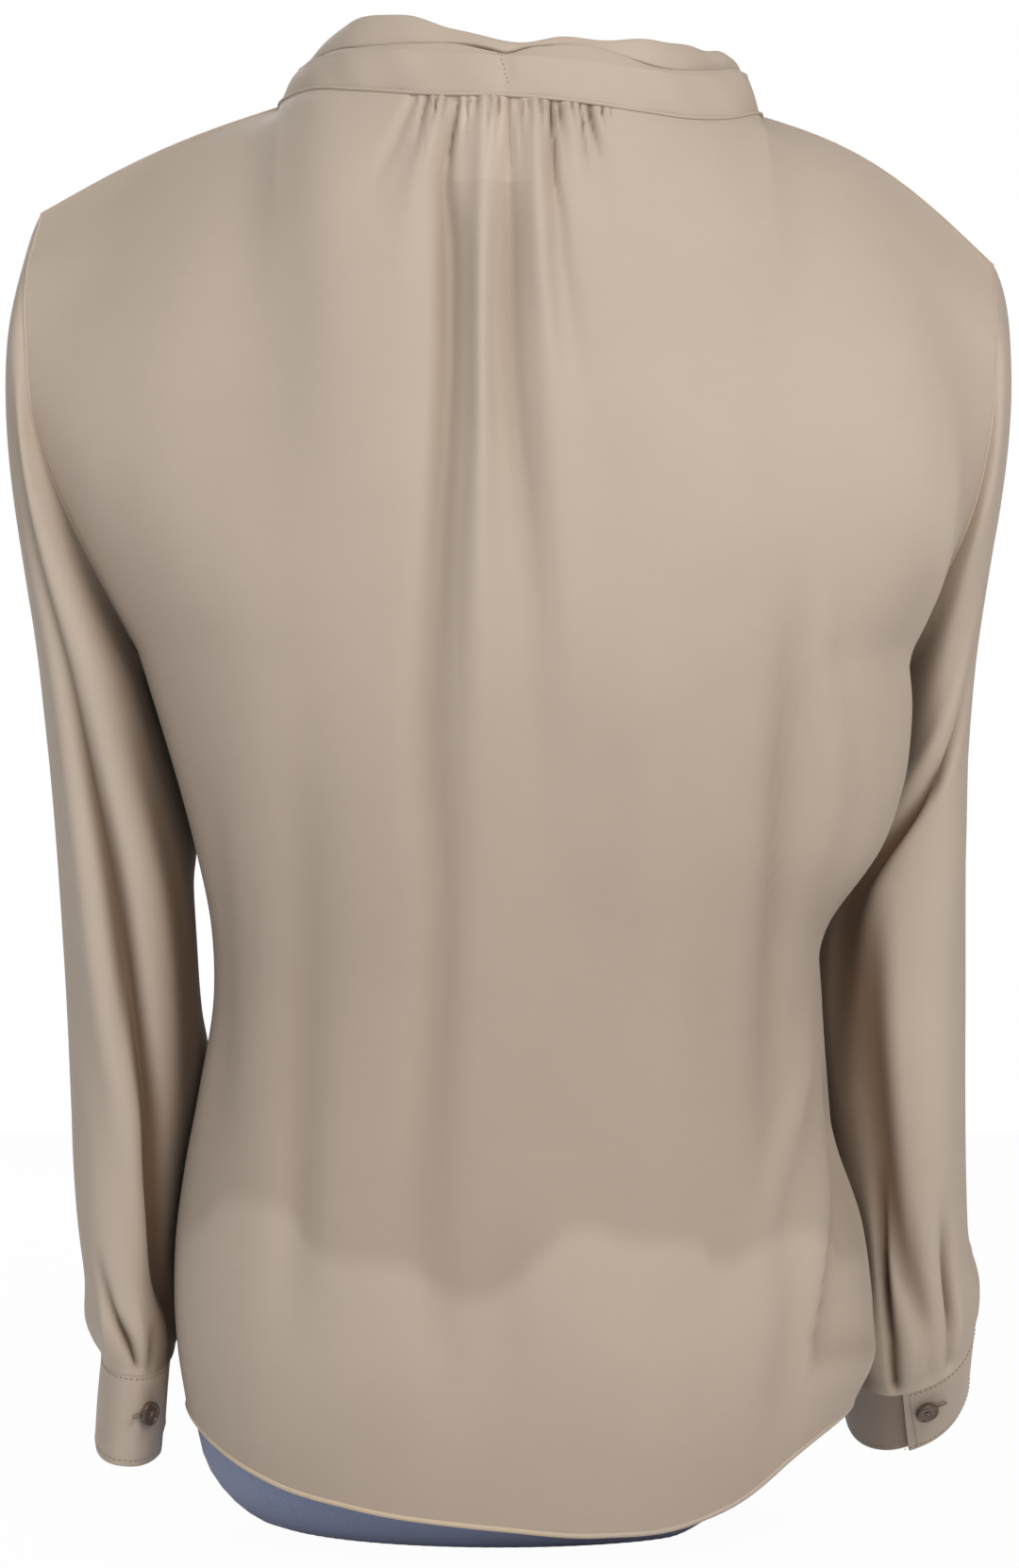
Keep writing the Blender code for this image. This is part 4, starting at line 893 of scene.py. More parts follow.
# Sleeves: the creases run down from the shoulder. angle is in degrees from the outer side towards the back.
SLEEVE_TOP_Z = 0.395
SLEEVE_SET_OUT = 0.0005
OVER_CUFF = 0.0042
CAP_ROWS, RING_ROWS, SLEEVE_AROUND = 34, 150, 160
CAP_PULLS = (0.7, 0.9)
SLEEVE_CREASES = {
    LEFT: tables(
        "z angle width push",
        {
            "against_body": (
                (0.44, 200, 26, 0), (0.395, 203, 26, 0.007), (0.35, 205, 25, 0.01), (0.32, 205, 24, 0.0065),
                (0.303, 205, 24, 0), (0.242, 205, 24, 0), (0.222, 205, 24, 0.005), (0.18, 205, 24, 0.008),
                (0.13, 203, 24, 0.008), (0.096, 200, 22, 0.004), (0.078, 200, 20, 0),
            ),
            "winding_trough": (
                (0.56, 30, 16, 0), (0.5, 50, 13, -0.0022), (0.395, 78, 10, -0.005), (0.343, 83, 10, -0.0074),
                (0.284, 88, 10, -0.0086), (0.23, 100, 10, -0.0086), (0.185, 118, 11, -0.008),
                (0.14, 138, 12, -0.006), (0.104, 152, 12, -0.0036), (0.076, 156, 10, 0),
            ),
            "winding_roll": (
                (0.52, 30, 14, 0), (0.395, 58, 12, 0.0014), (0.343, 63, 12, 0.0026), (0.284, 67, 13, 0.0034),
                (0.23, 79, 13, 0.0034), (0.185, 96, 14, 0.003), (0.14, 114, 15, 0.002), (0.1, 126, 14, 0),
            ),
            "inner_dip": (
                (0.38, 140, 18, 0), (0.3, 146, 16, -0.003), (0.22, 156, 16, -0.003), (0.15, 170, 18, 0),
            ),
            "cuff_pleat": (
                (0.135, 62, 9, 0), (0.108, 76, 7, -0.0044), (0.09, 92, 5, -0.0062), (0.076, 100, 4, -0.003),
            ),
            "second_cuff_pleat": (
                (0.1, 124, 8, 0), (0.086, 121, 6, -0.0022), (0.076, 120, 5, -0.001),
            ),
            "front_trough": (
                (0.52, -50, 18, 0), (0.4, -78, 16, -0.004), (0.26, -96, 16, -0.006), (0.15, -120, 16, -0.004),
                (0.08, -130, 14, 0),
            ),
            "outer_trough": (
                (0.5, -10, 10, 0), (0.42, -18, 9, -0.0022), (0.33, -24, 9, -0.0036), (0.24, -28, 9, -0.004),
                (0.16, -32, 9, -0.003), (0.1, -34, 8, 0),
            ),
            "outer_dip": (
                (0.44, 26, 10, 0), (0.35, 20, 9, -0.0016), (0.26, 17, 8, -0.0028), (0.17, 15, 7, -0.0026),
                (0.11, 14, 6, -0.0018), (0.078, 14, 5, 0),
            ),
            "outer_cuff_pleat": (
                (0.13, -10, 6, 0), (0.096, -13, 5, -0.0036), (0.078, -13, 4, -0.0016),
            ),
            "front_cuff_pleat": (
                (0.12, -54, 7, 0), (0.093, -58, 6, -0.0034), (0.077, -58, 5, -0.0014),
            ),
        },
    ),
    RIGHT: tables(
        "z angle width push",
        {
            "against_body": (
                (0.44, 196, 28, 0), (0.4, 196, 28, 0.008), (0.35, 196, 27, 0.011), (0.3, 196, 26, 0.008),
                (0.25, 196, 25, 0.006), (0.2, 198, 24, 0.007), (0.15, 198, 22, 0.007), (0.11, 198, 20, 0.003),
                (0.09, 198, 20, 0),
            ),
            "upper_fold": (
                (0.47, 30, 12, 0), (0.395, 52, 9, -0.0036), (0.36, 78, 9, -0.006), (0.34, 104, 10, -0.007),
                (0.32, 126, 12, -0.007), (0.298, 142, 14, -0.006), (0.255, 148, 16, -0.0036), (0.2, 146, 20, 0),
            ),
            "upper_fold_roll": (
                (0.47, 50, 14, 0), (0.4, 74, 14, 0.0024), (0.365, 100, 14, 0.0036), (0.345, 124, 15, 0.0036),
                (0.322, 146, 16, 0.0026), (0.3, 160, 16, 0),
            ),
            "inner_trough": (
                (0.3, 118, 18, 0), (0.26, 116, 18, -0.0044), (0.2, 112, 17, -0.0062), (0.15, 104, 14, -0.0058),
                (0.118, 92, 10, -0.005), (0.098, 84, 7, -0.0034), (0.086, 82, 6, -0.0014),
            ),
            "outer_roll": (
                (0.36, 40, 22, 0), (0.29, 58, 24, 0.0028), (0.2, 62, 24, 0.003), (0.13, 58, 22, 0),
            ),
            "cuff_pleat": (
                (0.16, 62, 9, 0), (0.13, 58, 7, -0.0044), (0.105, 58, 5, -0.0062), (0.086, 62, 4, -0.003),
            ),
            "cuff_opening": (
                (0.175, 118, 6, 0), (0.14, 116, 5, -0.004), (0.11, 112, 4, -0.0066), (0.086, 106, 4, -0.005),
            ),
            "under_pleat": (
                (0.16, 150, 14, 0), (0.12, 142, 12, -0.0034), (0.086, 138, 10, -0.001),
            ),
            "front_trough": (
                (0.5, -46, 18, 0), (0.38, -70, 16, -0.0038), (0.24, -84, 16, -0.0056), (0.14, -70, 14, -0.0034),
                (0.09, -62, 12, 0),
            ),
            "outer_trough": (
                (0.47, -14, 10, 0), (0.4, -20, 9, -0.002), (0.31, -30, 10, -0.004), (0.23, -26, 9, -0.0036),
                (0.17, -34, 9, -0.0024), (0.12, -36, 8, 0),
            ),
            "outer_dip": (
                (0.4, 20, 9, 0), (0.33, 17, 8, -0.002), (0.24, 20, 8, -0.003), (0.16, 15, 7, -0.0024),
                (0.115, 13, 6, -0.0014), (0.092, 13, 5, 0),
            ),
            "outer_cuff_pleat": (
                (0.142, -6, 6, 0), (0.112, -10, 5, -0.0034), (0.093, -10, 4, -0.0014),
            ),
            "front_cuff_pleat": (
                (0.136, -50, 7, 0), (0.108, -54, 6, -0.0032), (0.092, -54, 5, -0.0014),
            ),
        },
    ),
}


# How each cuff hangs: a little up its sleeve, and slanting up towards its outer side.
CUFF_HANG_FROM = 0.17
CUFF_RAISE = {LEFT: 0.0060, RIGHT: 0.0010}
CUFF_SLANT = {LEFT: 0.10, RIGHT: 0.32}
CUFF_EDGE_FROM = {LEFT: 158.0, RIGHT: 100.0}
CUFF_EDGE_SLANT = {LEFT: 0.0, RIGHT: 9.0}


def superellipse(angle, roundness):
    """Points on a unit superellipse."""
    power = 2 / roundness
    c, s = np.cos(angle), np.sin(angle)
    return np.sign(c) * np.abs(c) ** power, np.sign(s) * np.abs(s) ** power


def sleeve_ring(hand, z, angle, down=0.0):
    """Points of a sleeve's rings: angle 0 is its outer side, a quarter turn its back, a half its inner side."""
    rings = SLEEVES[hand]
    outer, inner = read(rings, "outer", z), read(rings, "inner", z)
    tilt = np.radians(read(rings, "tilt", z))
    out, back = superellipse(angle, SLEEVE_ROUNDNESS)
    depth = back * read(rings, "half_depth", z)
    side = out * (outer - inner) / 2
    near_cuff = ease((CUFF_HANG_FROM - z) / (CUFF_HANG_FROM - rings["z"][-1]))
    raised = near_cuff * (CUFF_RAISE[hand] + CUFF_SLANT[hand] * side)
    return points(
        hand * ((outer + inner) / 2 + side),
        read(rings, "y", z) + depth * np.cos(tilt) - down * np.sin(tilt),
        z - depth * np.sin(tilt) - down * np.cos(tilt) + raised,
    )


def sleeve_seam(hand, angle):
    """The armhole seam at a sleeve's angles: the shoulder tip at 0, the underarm at a half turn."""
    way = 1 - np.arccos(np.clip(np.cos(angle), -1, 1)) / np.pi
    sign = np.full(np.shape(angle), hand)
    behind = (np.sin(angle) >= 0)[..., None]
    return np.where(behind, armhole(sign, BACK, way), armhole(sign, FRONT, way))


def sleeve_surface(hand):
    """The smooth surface of a sleeve: its cap from the armhole, then its rings down to the cuff."""
    angles = np.linspace(0, 2 * np.pi, SLEEVE_AROUND, endpoint=False)
    ways = np.linspace(0, 1, CAP_ROWS, endpoint=False)[:, None, None]
    seam = sleeve_seam(hand, angles) + points(hand * SLEEVE_SET_OUT, 0, 0)
    top = np.full_like(angles, SLEEVE_TOP_Z)
    ring = sleeve_ring(hand, top, angles)
    length = np.linalg.norm(ring - seam, axis=-1, keepdims=True)
    out = (1 + np.cos(angles)) / 2
    leave = unit(points(hand * (0.08 + 0.22 * out), 0.5 * np.sin(angles), -1 + 0.45 * out))
    arrive = unit(sleeve_ring(hand, top - 0.01, angles) - ring)
    leaving, arriving = CAP_PULLS
    cap = hermite(seam, ring, leave * length * leaving, arrive * length * arriving, ways)
    heights = np.linspace(SLEEVE_TOP_Z, SLEEVES[hand]["z"][-1], RING_ROWS)[:, None]
    rings = sleeve_ring(hand, heights, angles[None, :])
    return np.concatenate([cap, rings]), angles


def folded_sleeve(hand):
    """A sleeve with its creases, and the painted shade of its troughs and of its inner side."""
    grid, angles = sleeve_surface(hand)
    normals = grid_normals(grid, around=True)
    if normals[CAP_ROWS + 20, 0, 0] * hand < 0:
        normals = -normals
    z = grid[..., 2]
    push = np.zeros_like(z)
    for crease in SLEEVE_CREASES[hand].values():
        turn = (np.degrees(angles)[None, :] - read(crease, "angle", z) + 180) % 360 - 180
        push = push + read(crease, "push", z) * bell(turn, read(crease, "width", z))
    rows = np.arange(len(grid))
    ends = ease(rows / 12)[:, None] * ease((len(grid) - 1 - rows) / 3)[:, None]
    grid = grid + normals * ((push + crepe_unevenness(grid) * 0.8) * ends)[..., None]
    waves = 1 - 0.4 * np.abs(np.sin(angles * 4.5 + hand))[None, :]
    over_cuff = OVER_CUFF * bell(rows[:, None] - (len(grid) - 10), 7) * waves
    grid = grid + normals * (over_cuff * ease((len(grid) - 1 - rows) / 4)[:, None])[..., None]
    # Painted shade: the troughs and the inner side, toward the body, are darkened.
    inward = ease((-np.cos(angles)[None, :] + 0.1) / 1.1) * ease((0.56 - z) / 0.2) * (np.sin(angles) > -0.2)
    hollow = trough_shade(push * ends, SLEEVE_CREASE_SHADE) + INNER_SIDE_SHADE * inward
    return grid, np.clip(hollow, 0, 1)


def cuff_point(hand, angle, down, set_in):
    """Places on a cuff's outer face, or on its under-lap, which is set in behind the upper end."""
    top = np.full(np.shape(angle), SLEEVES[hand]["z"][-1])
    swing = points(hand * CUFF_SWING[hand] * down / CUFF_HEIGHT, 0, 0)
    place = sleeve_ring(hand, top, angle, down)
    out = unit(place - sleeve_ring(hand, top, angle + np.pi, down))
    return place + swing - out * np.asarray(set_in)[..., None], out


CUFF_STEPS = 200
CUFF_ROWS = 20

# The under-lap goes in behind the cuff's upper end within the first angle, and is behind it for the second.
UNDER_LAP_EASE = 70.0
UNDER_LAP_FULL = 15.0
UNDER_LAP_DEPTH = CUFF_CLOTH + 0.0012

# The cuffs' rounded edges, the pucker under each button and the sag between the edges
CUFF_EDGE = 0.0014
CUFF_EDGE_ROLL, PUCKER, CUFF_SAG = 0.0005, 0.0006, 0.0005
PUCKER_DOWN = 0.010

# Each button's place round its cuff and down it, and its height over the cloth
BUTTON_ANGLES = {LEFT: 118.0, RIGHT: 82.0}
BUTTON_DOWN = {LEFT: 0.0185, RIGHT: 0.0170}
BUTTON_LIFT = 0.0006


def under_lap(turned):
    """How far a cuff has gone in behind its upper end, from 0 to 1, once it has turned by some degrees."""
    return ease((turned - 360 + UNDER_LAP_FULL + UNDER_LAP_EASE) / UNDER_LAP_EASE)


def cuff_surface(hand):
    """A cuff's strip once round the wrist, with soft edges, the puckers that its button makes, and painted
    shade on its under-lap and below each button.
    """
    turned = np.linspace(0, 360 + CUFF_LAP, CUFF_STEPS + 1)[None, :]
    down = np.linspace(0, CUFF_HEIGHT, CUFF_ROWS)[:, None]
    lap = under_lap(turned)
    slant = CUFF_EDGE_SLANT[hand] * down / CUFF_HEIGHT * (1 - turned / (360 + CUFF_LAP))
    degrees = CUFF_EDGE_FROM[hand] - turned - slant
    turn, down = np.broadcast_arrays(np.radians(degrees), down)
    to_edge = np.minimum(down, CUFF_HEIGHT - down)
    roll = CUFF_EDGE_ROLL * (1 - ease(to_edge / CUFF_EDGE))
    from_button = degrees - BUTTON_ANGLES[hand]
    pucker = PUCKER * bell(from_button, 9) * bell(down - BUTTON_DOWN[hand] - PUCKER_DOWN, 0.006)
    sag = CUFF_SAG * np.sin(turn * 3 + hand) * np.sin(down / CUFF_HEIGHT * math.pi)
    grid, _ = cuff_point(hand, turn, down, lap * UNDER_LAP_DEPTH + roll + pucker - sag)
    # Painted shade below the button's pucker and on the under-lap behind the cuff's upper end.
    below = 0.35 * bell(down - PUCKER_DOWN, 0.006) * bell(from_button, 16)
    return grid, np.clip(0.5 * lap * np.ones_like(down) + below, 0, 1)


def button_frame(hand):
    """A button's place on its cuff, as a matrix whose Z faces outwards and whose X runs round the cuff."""
    angle = np.array(math.radians(BUTTON_ANGLES[hand]))
    down = BUTTON_DOWN[hand]
    place = cuff_point(hand, angle, down, 0)[0]
    across = cuff_point(hand, angle + 0.05, down, 0)[0] - place
    along = cuff_point(hand, angle, down + 0.002, 0)[0] - place
    out = unit(np.cross(across, along))
    out = out if out[1] > 0 else -out
    side = unit(across)
    up = np.cross(out, side)
    columns = np.stack([side, up, out, place + out * BUTTON_LIFT], axis=1)
    return Matrix([*columns.tolist(), [0, 0, 0, 1]])


# Where the collar turns to follow the V, and how it lies beyond: inwards, backwards and upwards
COLLAR_TURNS_FROM, COLLAR_TURNS_OVER = 0.45, 0.35
COLLAR_LIES = (0.80, 0.12, 0.55)


def collar_frame(place):
    """The seam point, the direction in which the collar stands up from it, and the one it faces."""
    step = 0.004
    at = neckline(place)
    along = unit(neckline(place + step) - neckline(place - step))
    down_front = ease((np.abs(place) - COLLAR_TURNS_FROM) / COLLAR_TURNS_OVER)
    outward = unit(points(at[..., 0], at[..., 1] * (1 - 0.5 * down_front), 0))
    rise = points(0, 0, 1) - outward * read(COLLAR, "lean", place)[..., None]
    inwards, backwards, upwards = COLLAR_LIES
    inside = unit(points(-np.copysign(inwards, place), backwards, upwards))
    mix = down_front[..., None]
    rise = unit(rise * (1 - mix) + inside * mix)
    face = unit(np.cross(along, rise))
    sign = np.where(np.sum(face * outward, axis=-1, keepdims=True) > 0, 1, -1)
    return at, rise, face * sign


COLLAR_STEPS = 420
TACK_WIDTH = 0.010


# Along the collar: how far the tuck lies above the band's fold, and how far the roll stands back from it there.
TUCK_LINE = table(
    "place above open",
    (-0.985, 0.001, 0), (-0.7, 0.0022, 0), (-0.5, 0.0026, 0.0006), (-0.42, 0.003, 0.0026),
    (-0.346, 0.0032, 0.004), (-0.3, 0.0034, 0.003), (-0.252, 0.0032, 0.0006), (-0.202, 0.0036, 0),
    (-0.172, 0.0056, 0.0004), (-0.144, 0.008, 0.0012), (-0.111, 0.0098, 0.0016), (-0.085, 0.0092, 0.001),
    (-0.058, 0.0078, 0.0004), (-0.026, 0.0056, 0.0002), (-0.008, 0.003, 0), (0.001, 0.002, 0),
    (0.009, 0.0026, 0), (0.028, 0.0042, 0.0002), (0.054, 0.0056, 0.0004), (0.092, 0.006, 0.0004),
    (0.137, 0.0048, 0.0002), (0.185, 0.0032, 0), (0.26, 0.0028, 0), (0.5, 0.0024, 0), (0.7, 0.0022, 0),
    (0.985, 0.001, 0),
)
FACET_LEAN = 0.24
FOLD_RIDGE = 0.0004
TUCK_RETURN = 0.0024
BAND_BOW, TACK_PINCH = 0.0014, 0.0012
BAND_WAVES = ((0.0004, 31, 2), (0.0003, 67, -3))

# Rows of the band's face, of the facet over its fold and of the return behind the tuck
FACE_ROWS, FACET_ROWS, RETURN_ROWS = 22, 11, 4

# Painted shade on the band at its tack, at its seam, at its return and at the end of its facet
TACK_SHADE, SEAM_SHADE, RETURN_SHADE, FACET_SHADE = 0.10, 0.22, 0.8, 0.22

# The roll's section, how much narrower it is at its top, and how far it lies behind the band
ROLL_ROUNDNESS, ROLL_NARROWING, ROLL_BEHIND = 2.2, 0.35, 0.0016
ROLL_WAVES = ((0.0007, 23, 1.3), (0.0004, 57, 0))


def tuck_back(place):
    """How far inwards the band has leant where its tuck lies."""
    return 0.0004 + FACET_LEAN * read(TUCK_LINE, "above", place)


def growing(before, rows, after):
    """A share for each row: 0 in those before, growing evenly over some rows, and 1 in those after."""
    return np.concatenate([np.zeros(before), np.linspace(0, 1, rows + 1)[1:], np.ones(after)])[:, None]


def stand_surface():
    """The neck band: up from its seam to a soft fold, on to the tuck, and a little way down behind it, with its
    painted shade.
    """
    place = np.linspace(-COLLAR_END, COLLAR_END, COLLAR_STEPS)[None, :]
    up = growing(1, FACE_ROWS - 1, FACET_ROWS + RETURN_ROWS)
    facet = growing(FACE_ROWS, FACET_ROWS, RETURN_ROWS)
    turned = growing(FACE_ROWS + FACET_ROWS, RETURN_ROWS, 0)
    at, rise, face = collar_frame(place)
    on_front = ease((np.abs(place) - 0.4) / 0.1)
    above = read(TUCK_LINE, "above", place)
    height = SEAM_GAP * (1 + 1.5 * on_front) + up * read(COLLAR, "stand", place)
    height = height + facet * above - turned * np.minimum(TUCK_RETURN, above)
    tack = bell(place, TACK_WIDTH)
    wave = waves(place, up, BAND_WAVES)
    bow = BAND_BOW * np.sin(np.pi * np.clip(up, 0, 1) * 0.8) * (1 - facet)
    ridge = FOLD_RIDGE * np.exp(-(((up - 1) / 0.07) ** 2)) * np.exp(-((facet / 0.25) ** 2))
    set_back = facet**1.3 * tuck_back(place) + np.sin(turned * np.pi / 2) * 0.0011
    pinch = TACK_PINCH * tack * np.sin(np.pi * np.clip(up * 0.9, 0, 1))
    swell = bow + ridge + wave * (1 - facet) - set_back - pinch
    grid = at + rise * height[..., None] + face * swell[..., None]
    # Painted shade at the tack, along the seam, on the return behind the tuck and at the top of the facet.
    hollow = TACK_SHADE * tack + SEAM_SHADE * ease((0.10 - up) / 0.10)
    hollow = hollow + RETURN_SHADE * turned + FACET_SHADE * ease((facet - 0.7) / 0.3)
    return grid, np.broadcast_to(hollow, grid.shape[:2])


def roll_surface():
    """The soft roll behind the tuck along the collar's top, pinched at centre back, with painted shade along
    the tuck and on its back.
    """
    place = np.linspace(-ROLL_END, ROLL_END, COLLAR_STEPS)[:, None]
    turn = np.linspace(0, 2 * np.pi, 48, endpoint=False)[None, :]
    place, turn = np.broadcast_arrays(place, turn)
    at, rise, face = collar_frame(place)
    half_height = read(COLLAR, "roll", place) / 2
    fold, above = read(COLLAR, "stand", place), read(TUCK_LINE, "above", place)
    on_front = ease((np.abs(place) - 0.4) / 0.2)
    behind = tuck_back(place) + ROLL_BEHIND * (1 - 0.5 * on_front) + read(TUCK_LINE, "open", place)
    middle = at + rise * (fold + 4 * SEAM_GAP + half_height)[..., None] - face * behind[..., None]
    out, up = superellipse(turn, ROLL_ROUNDNESS)
    narrow = 1 - ROLL_NARROWING * np.clip(up, 0, 1)
    lift = waves(place, 1, ROLL_WAVES)
    thick = ROLL_HALF_THICKNESS * out * narrow + lift * 0.5
    grid = middle + face * thick[..., None] + rise * (up * half_height + lift * (up > 0))[..., None]
    # Painted shade: a dark line where the roll meets the tuck, and its hidden back side darker.
    over_tuck = half_height * (1 + up) + 4 * SEAM_GAP - above
    hollow = np.where(out > 0, ease((0.0016 - over_tuck) / 0.0026), 0.25) * 0.95
    return grid, hollow


def capped_tube(name, grid, hollow):
    """A closed soft tube through rings of places."""
    rings, around = grid.shape[:2]
    ends = [list(range(around))[::-1], list(range((rings - 1) * around, rings * around))]
    made = grid_object(name, grid, hollow, grid_faces(rings, around, True) + ends)
    shape = bmesh.new()
    shape.from_mesh(made.data)
    if shape.calc_volume(signed=True) < 0:
        bmesh.ops.reverse_faces(shape, faces=shape.faces)
        shape.to_mesh(made.data)
    shape.free()
    smooth(made, 60)
    return made


def colour_value(name, description, default):
    return bpy.props.FloatVectorProperty(
        name=name, description=description, subtype="COLOR", size=3, default=default
    )


def number_value(name, description, default, low=0.0, **more):
    return bpy.props.FloatProperty(name=name, description=description, default=default, min=low, **more)


class ClothLook(bpy.types.PropertyGroup):
    """The blouse's crepe: its colour in the light, the colour of its painted shade in the folds, and its grain.
    """

    colour: colour_value("Crepe", "Colour of the crepe in the light", (0.545, 0.452, 0.372))
    # shadow is the colour that painted shade is mixed toward in folds, on the sleeves' inner sides and where
    # the back hangs free; it is also the deeper colour of two layers of the thin crepe lying together.
    shadow: colour_value(
        "Hollow", "Colour of the crepe deep in a fold, where two layers lie together", (0.150, 0.092, 0.055)
    )
    # The rolled hem's edge is given this paler colour, which runs out into plain crepe toward the right.
    hem_edge: colour_value("Hem edge", "Colour of the rolled hem's worn edge", (0.70, 0.56, 0.40))
    threads_per_metre: number_value(
        "Threads", "Threads in a metre of crepe, for its grain", 2400.0, 500.0, max=6000.0
    )
    sheen: number_value(
        "Sheen", "How much soft light the crepe catches at a glance", 0.18, max=1.0, subtype="FACTOR"
    )
    gather_depth: number_value("Gathers", "Depth of the back neck's gathers", 0.0030, max=0.004, unit="LENGTH")


class TrimLook(bpy.types.PropertyGroup):
    """The buttons, the sewing thread and the dress form."""

    button: colour_value("Button", "Colour of the buttons", (0.105, 0.068, 0.045))
    button_radius: number_value(
        "Button radius", "Radius of a cuff button", 0.00575, 0.004, max=0.008, unit="LENGTH"
    )
    button_thickness: number_value(
        "Button thickness", "Thickness of a cuff button", 0.0024, 0.001, max=0.004, unit="LENGTH"
    )
    thread: colour_value("Thread", "Colour of the sewing thread", (0.300, 0.215, 0.155))
    label: colour_value("Label", "Colour of the blank neck label", (0.640, 0.540, 0.430))
    jersey: colour_value("Form cover", "Colour of the dress form's jersey", (0.275, 0.320, 0.490))


class StageLook(bpy.types.PropertyGroup):
    """The floor, the lights and the camera."""

    floor: colour_value("Floor", "Colour of the floor", (0.90, 0.90, 0.90))
    key_watts: number_value("Key light", "Power of the large soft light, high on the right", 24.5, unit="POWER")
    fill_watts: number_value("Fill light", "Power of the soft light on the left", 6.2, unit="POWER")
    air: number_value("Surroundings", "Strength of the white surroundings", 0.28, max=3.0)
    front_watts: number_value("Front light", "Power of the soft light on its front", 15.0, unit="POWER")
    camera_distance: number_value(
        "Camera distance", "From the form's middle to the camera", 2.1, 0.5, max=10.0, unit="LENGTH"
    )
    camera_height: number_value("Camera height", "Of the camera over the floor", 0.349, max=3.0, unit="LENGTH")


def panel_lines(side):
    """The column and row places of a panel: closest together under the gathers and at the top edge."""
    shoulder = np.linspace(2, 1, 31)
    if side == BACK:
        ends = np.array([GATHERS_LEFT / NECK_LEFT, -GATHERS_RIGHT / NECK_RIGHT])
        left, right = np.arcsin(ends) * 2 / math.pi * 1.5
        steps = ((1, left, 14), (left, -right, 113), (-right, -1, 14))
        middle = [np.linspace(*step)[1:] for step in steps]
    else:
        middle = [np.linspace(1, -1, 111)[1:]]
    columns = np.concatenate([shoulder, *middle, -shoulder[::-1][1:]])
    rows = np.concatenate([np.linspace(-1, 0, 81)[:-1], 1 - (1 - np.linspace(0, 1, 95)) ** 1.6])
    return columns[None, :], rows[:, None]


# The right side seen from behind: how far the back reaches out over the sleeve, and where its side pleat runs.
SIDE_FLARE = table(
    "z reach",
    (0.05, 0), (0.07, 0.004), (0.09, 0.011), (0.11, 0.013), (0.145, 0.012), (0.18, 0.0035), (0.2, 0), (0.27, 0),
    (0.295, 0.006), (0.32, 0.01), (0.36, 0.012), (0.385, 0.008), (0.405, 0),
)
SIDE_PLEAT = table(
    "z x",
    (0.08, -0.134), (0.115, -0.1375), (0.145, -0.1405), (0.18, -0.145), (0.216, -0.147), (0.254, -0.14),
)
SIDE_STEP = 0.0050
SIDE_FLARE_FROM_X, SIDE_FLARE_FROM_Y = -0.125, 0.006


def side_flare(place):
    """How far the back's right edge reaches out, where it lies behind the arm."""
    x, y, z = place[..., 0], place[..., 1], place[..., 2]
    behind = ease((y - SIDE_FLARE_FROM_Y) / 0.022)
    return read(SIDE_FLARE, "reach", z) * behind * ease((SIDE_FLARE_FROM_X - x) / 0.030)


def side_step(place):
    """The step down from the back to the cloth beyond its right side pleat."""
    x, z = place[..., 0], place[..., 2]
    beyond = ease((read(SIDE_PLEAT, "x", z) - x + 0.001) / 0.004)
    return -SIDE_STEP * beyond * ease((0.235 - z) / 0.05) * ease((z - 0.075) / 0.03)


EASING_WIDTH = 0.016

# Beside the back's side pleat: the painted shade beyond it and at its edge. The left flank gets painted shade
# about one place, in the fold under its arm.
PLEAT_SHADE, PLEAT_EDGE_SHADE = 0.26, 0.9
FLANK_X, FLANK_Z, FLANK_SHADE = 0.135, 0.42, 0.25

# Sewing along the panels' edges
SEAM_FLATTENING = 0.3
SEAM_RIDGE = 0.0009
FINE_RIDGE = 0.0005
HEM_ROLL = 0.0013


def eased_corners(grid, columns, rows):
    """The panel with the bend below each neck corner smoothed out sideways, by a line fitted at each point."""
    among = ease((0.985 - rows) / 0.12) * ease((rows + 0.25) / 0.35) * ease((1.85 - np.abs(columns)) / 0.45)
    grid = grid.copy()
    for x, y, share in zip(grid[..., 0], grid[..., 1], among):
        away = x[None, :] - x[:, None]
        weight = bell(away, EASING_WIDTH) * np.abs(np.gradient(x))[None, :] + 1e-12
        total, first, second = weight.sum(1), (weight * away).sum(1), (weight * away * away).sum(1)
        level, slope = (weight * y).sum(1), (weight * away * y).sum(1)
        fitted = (level * second - slope * first) / np.maximum(total * second - first * first, 1e-30)
        y += share * (fitted - y)
    return grid


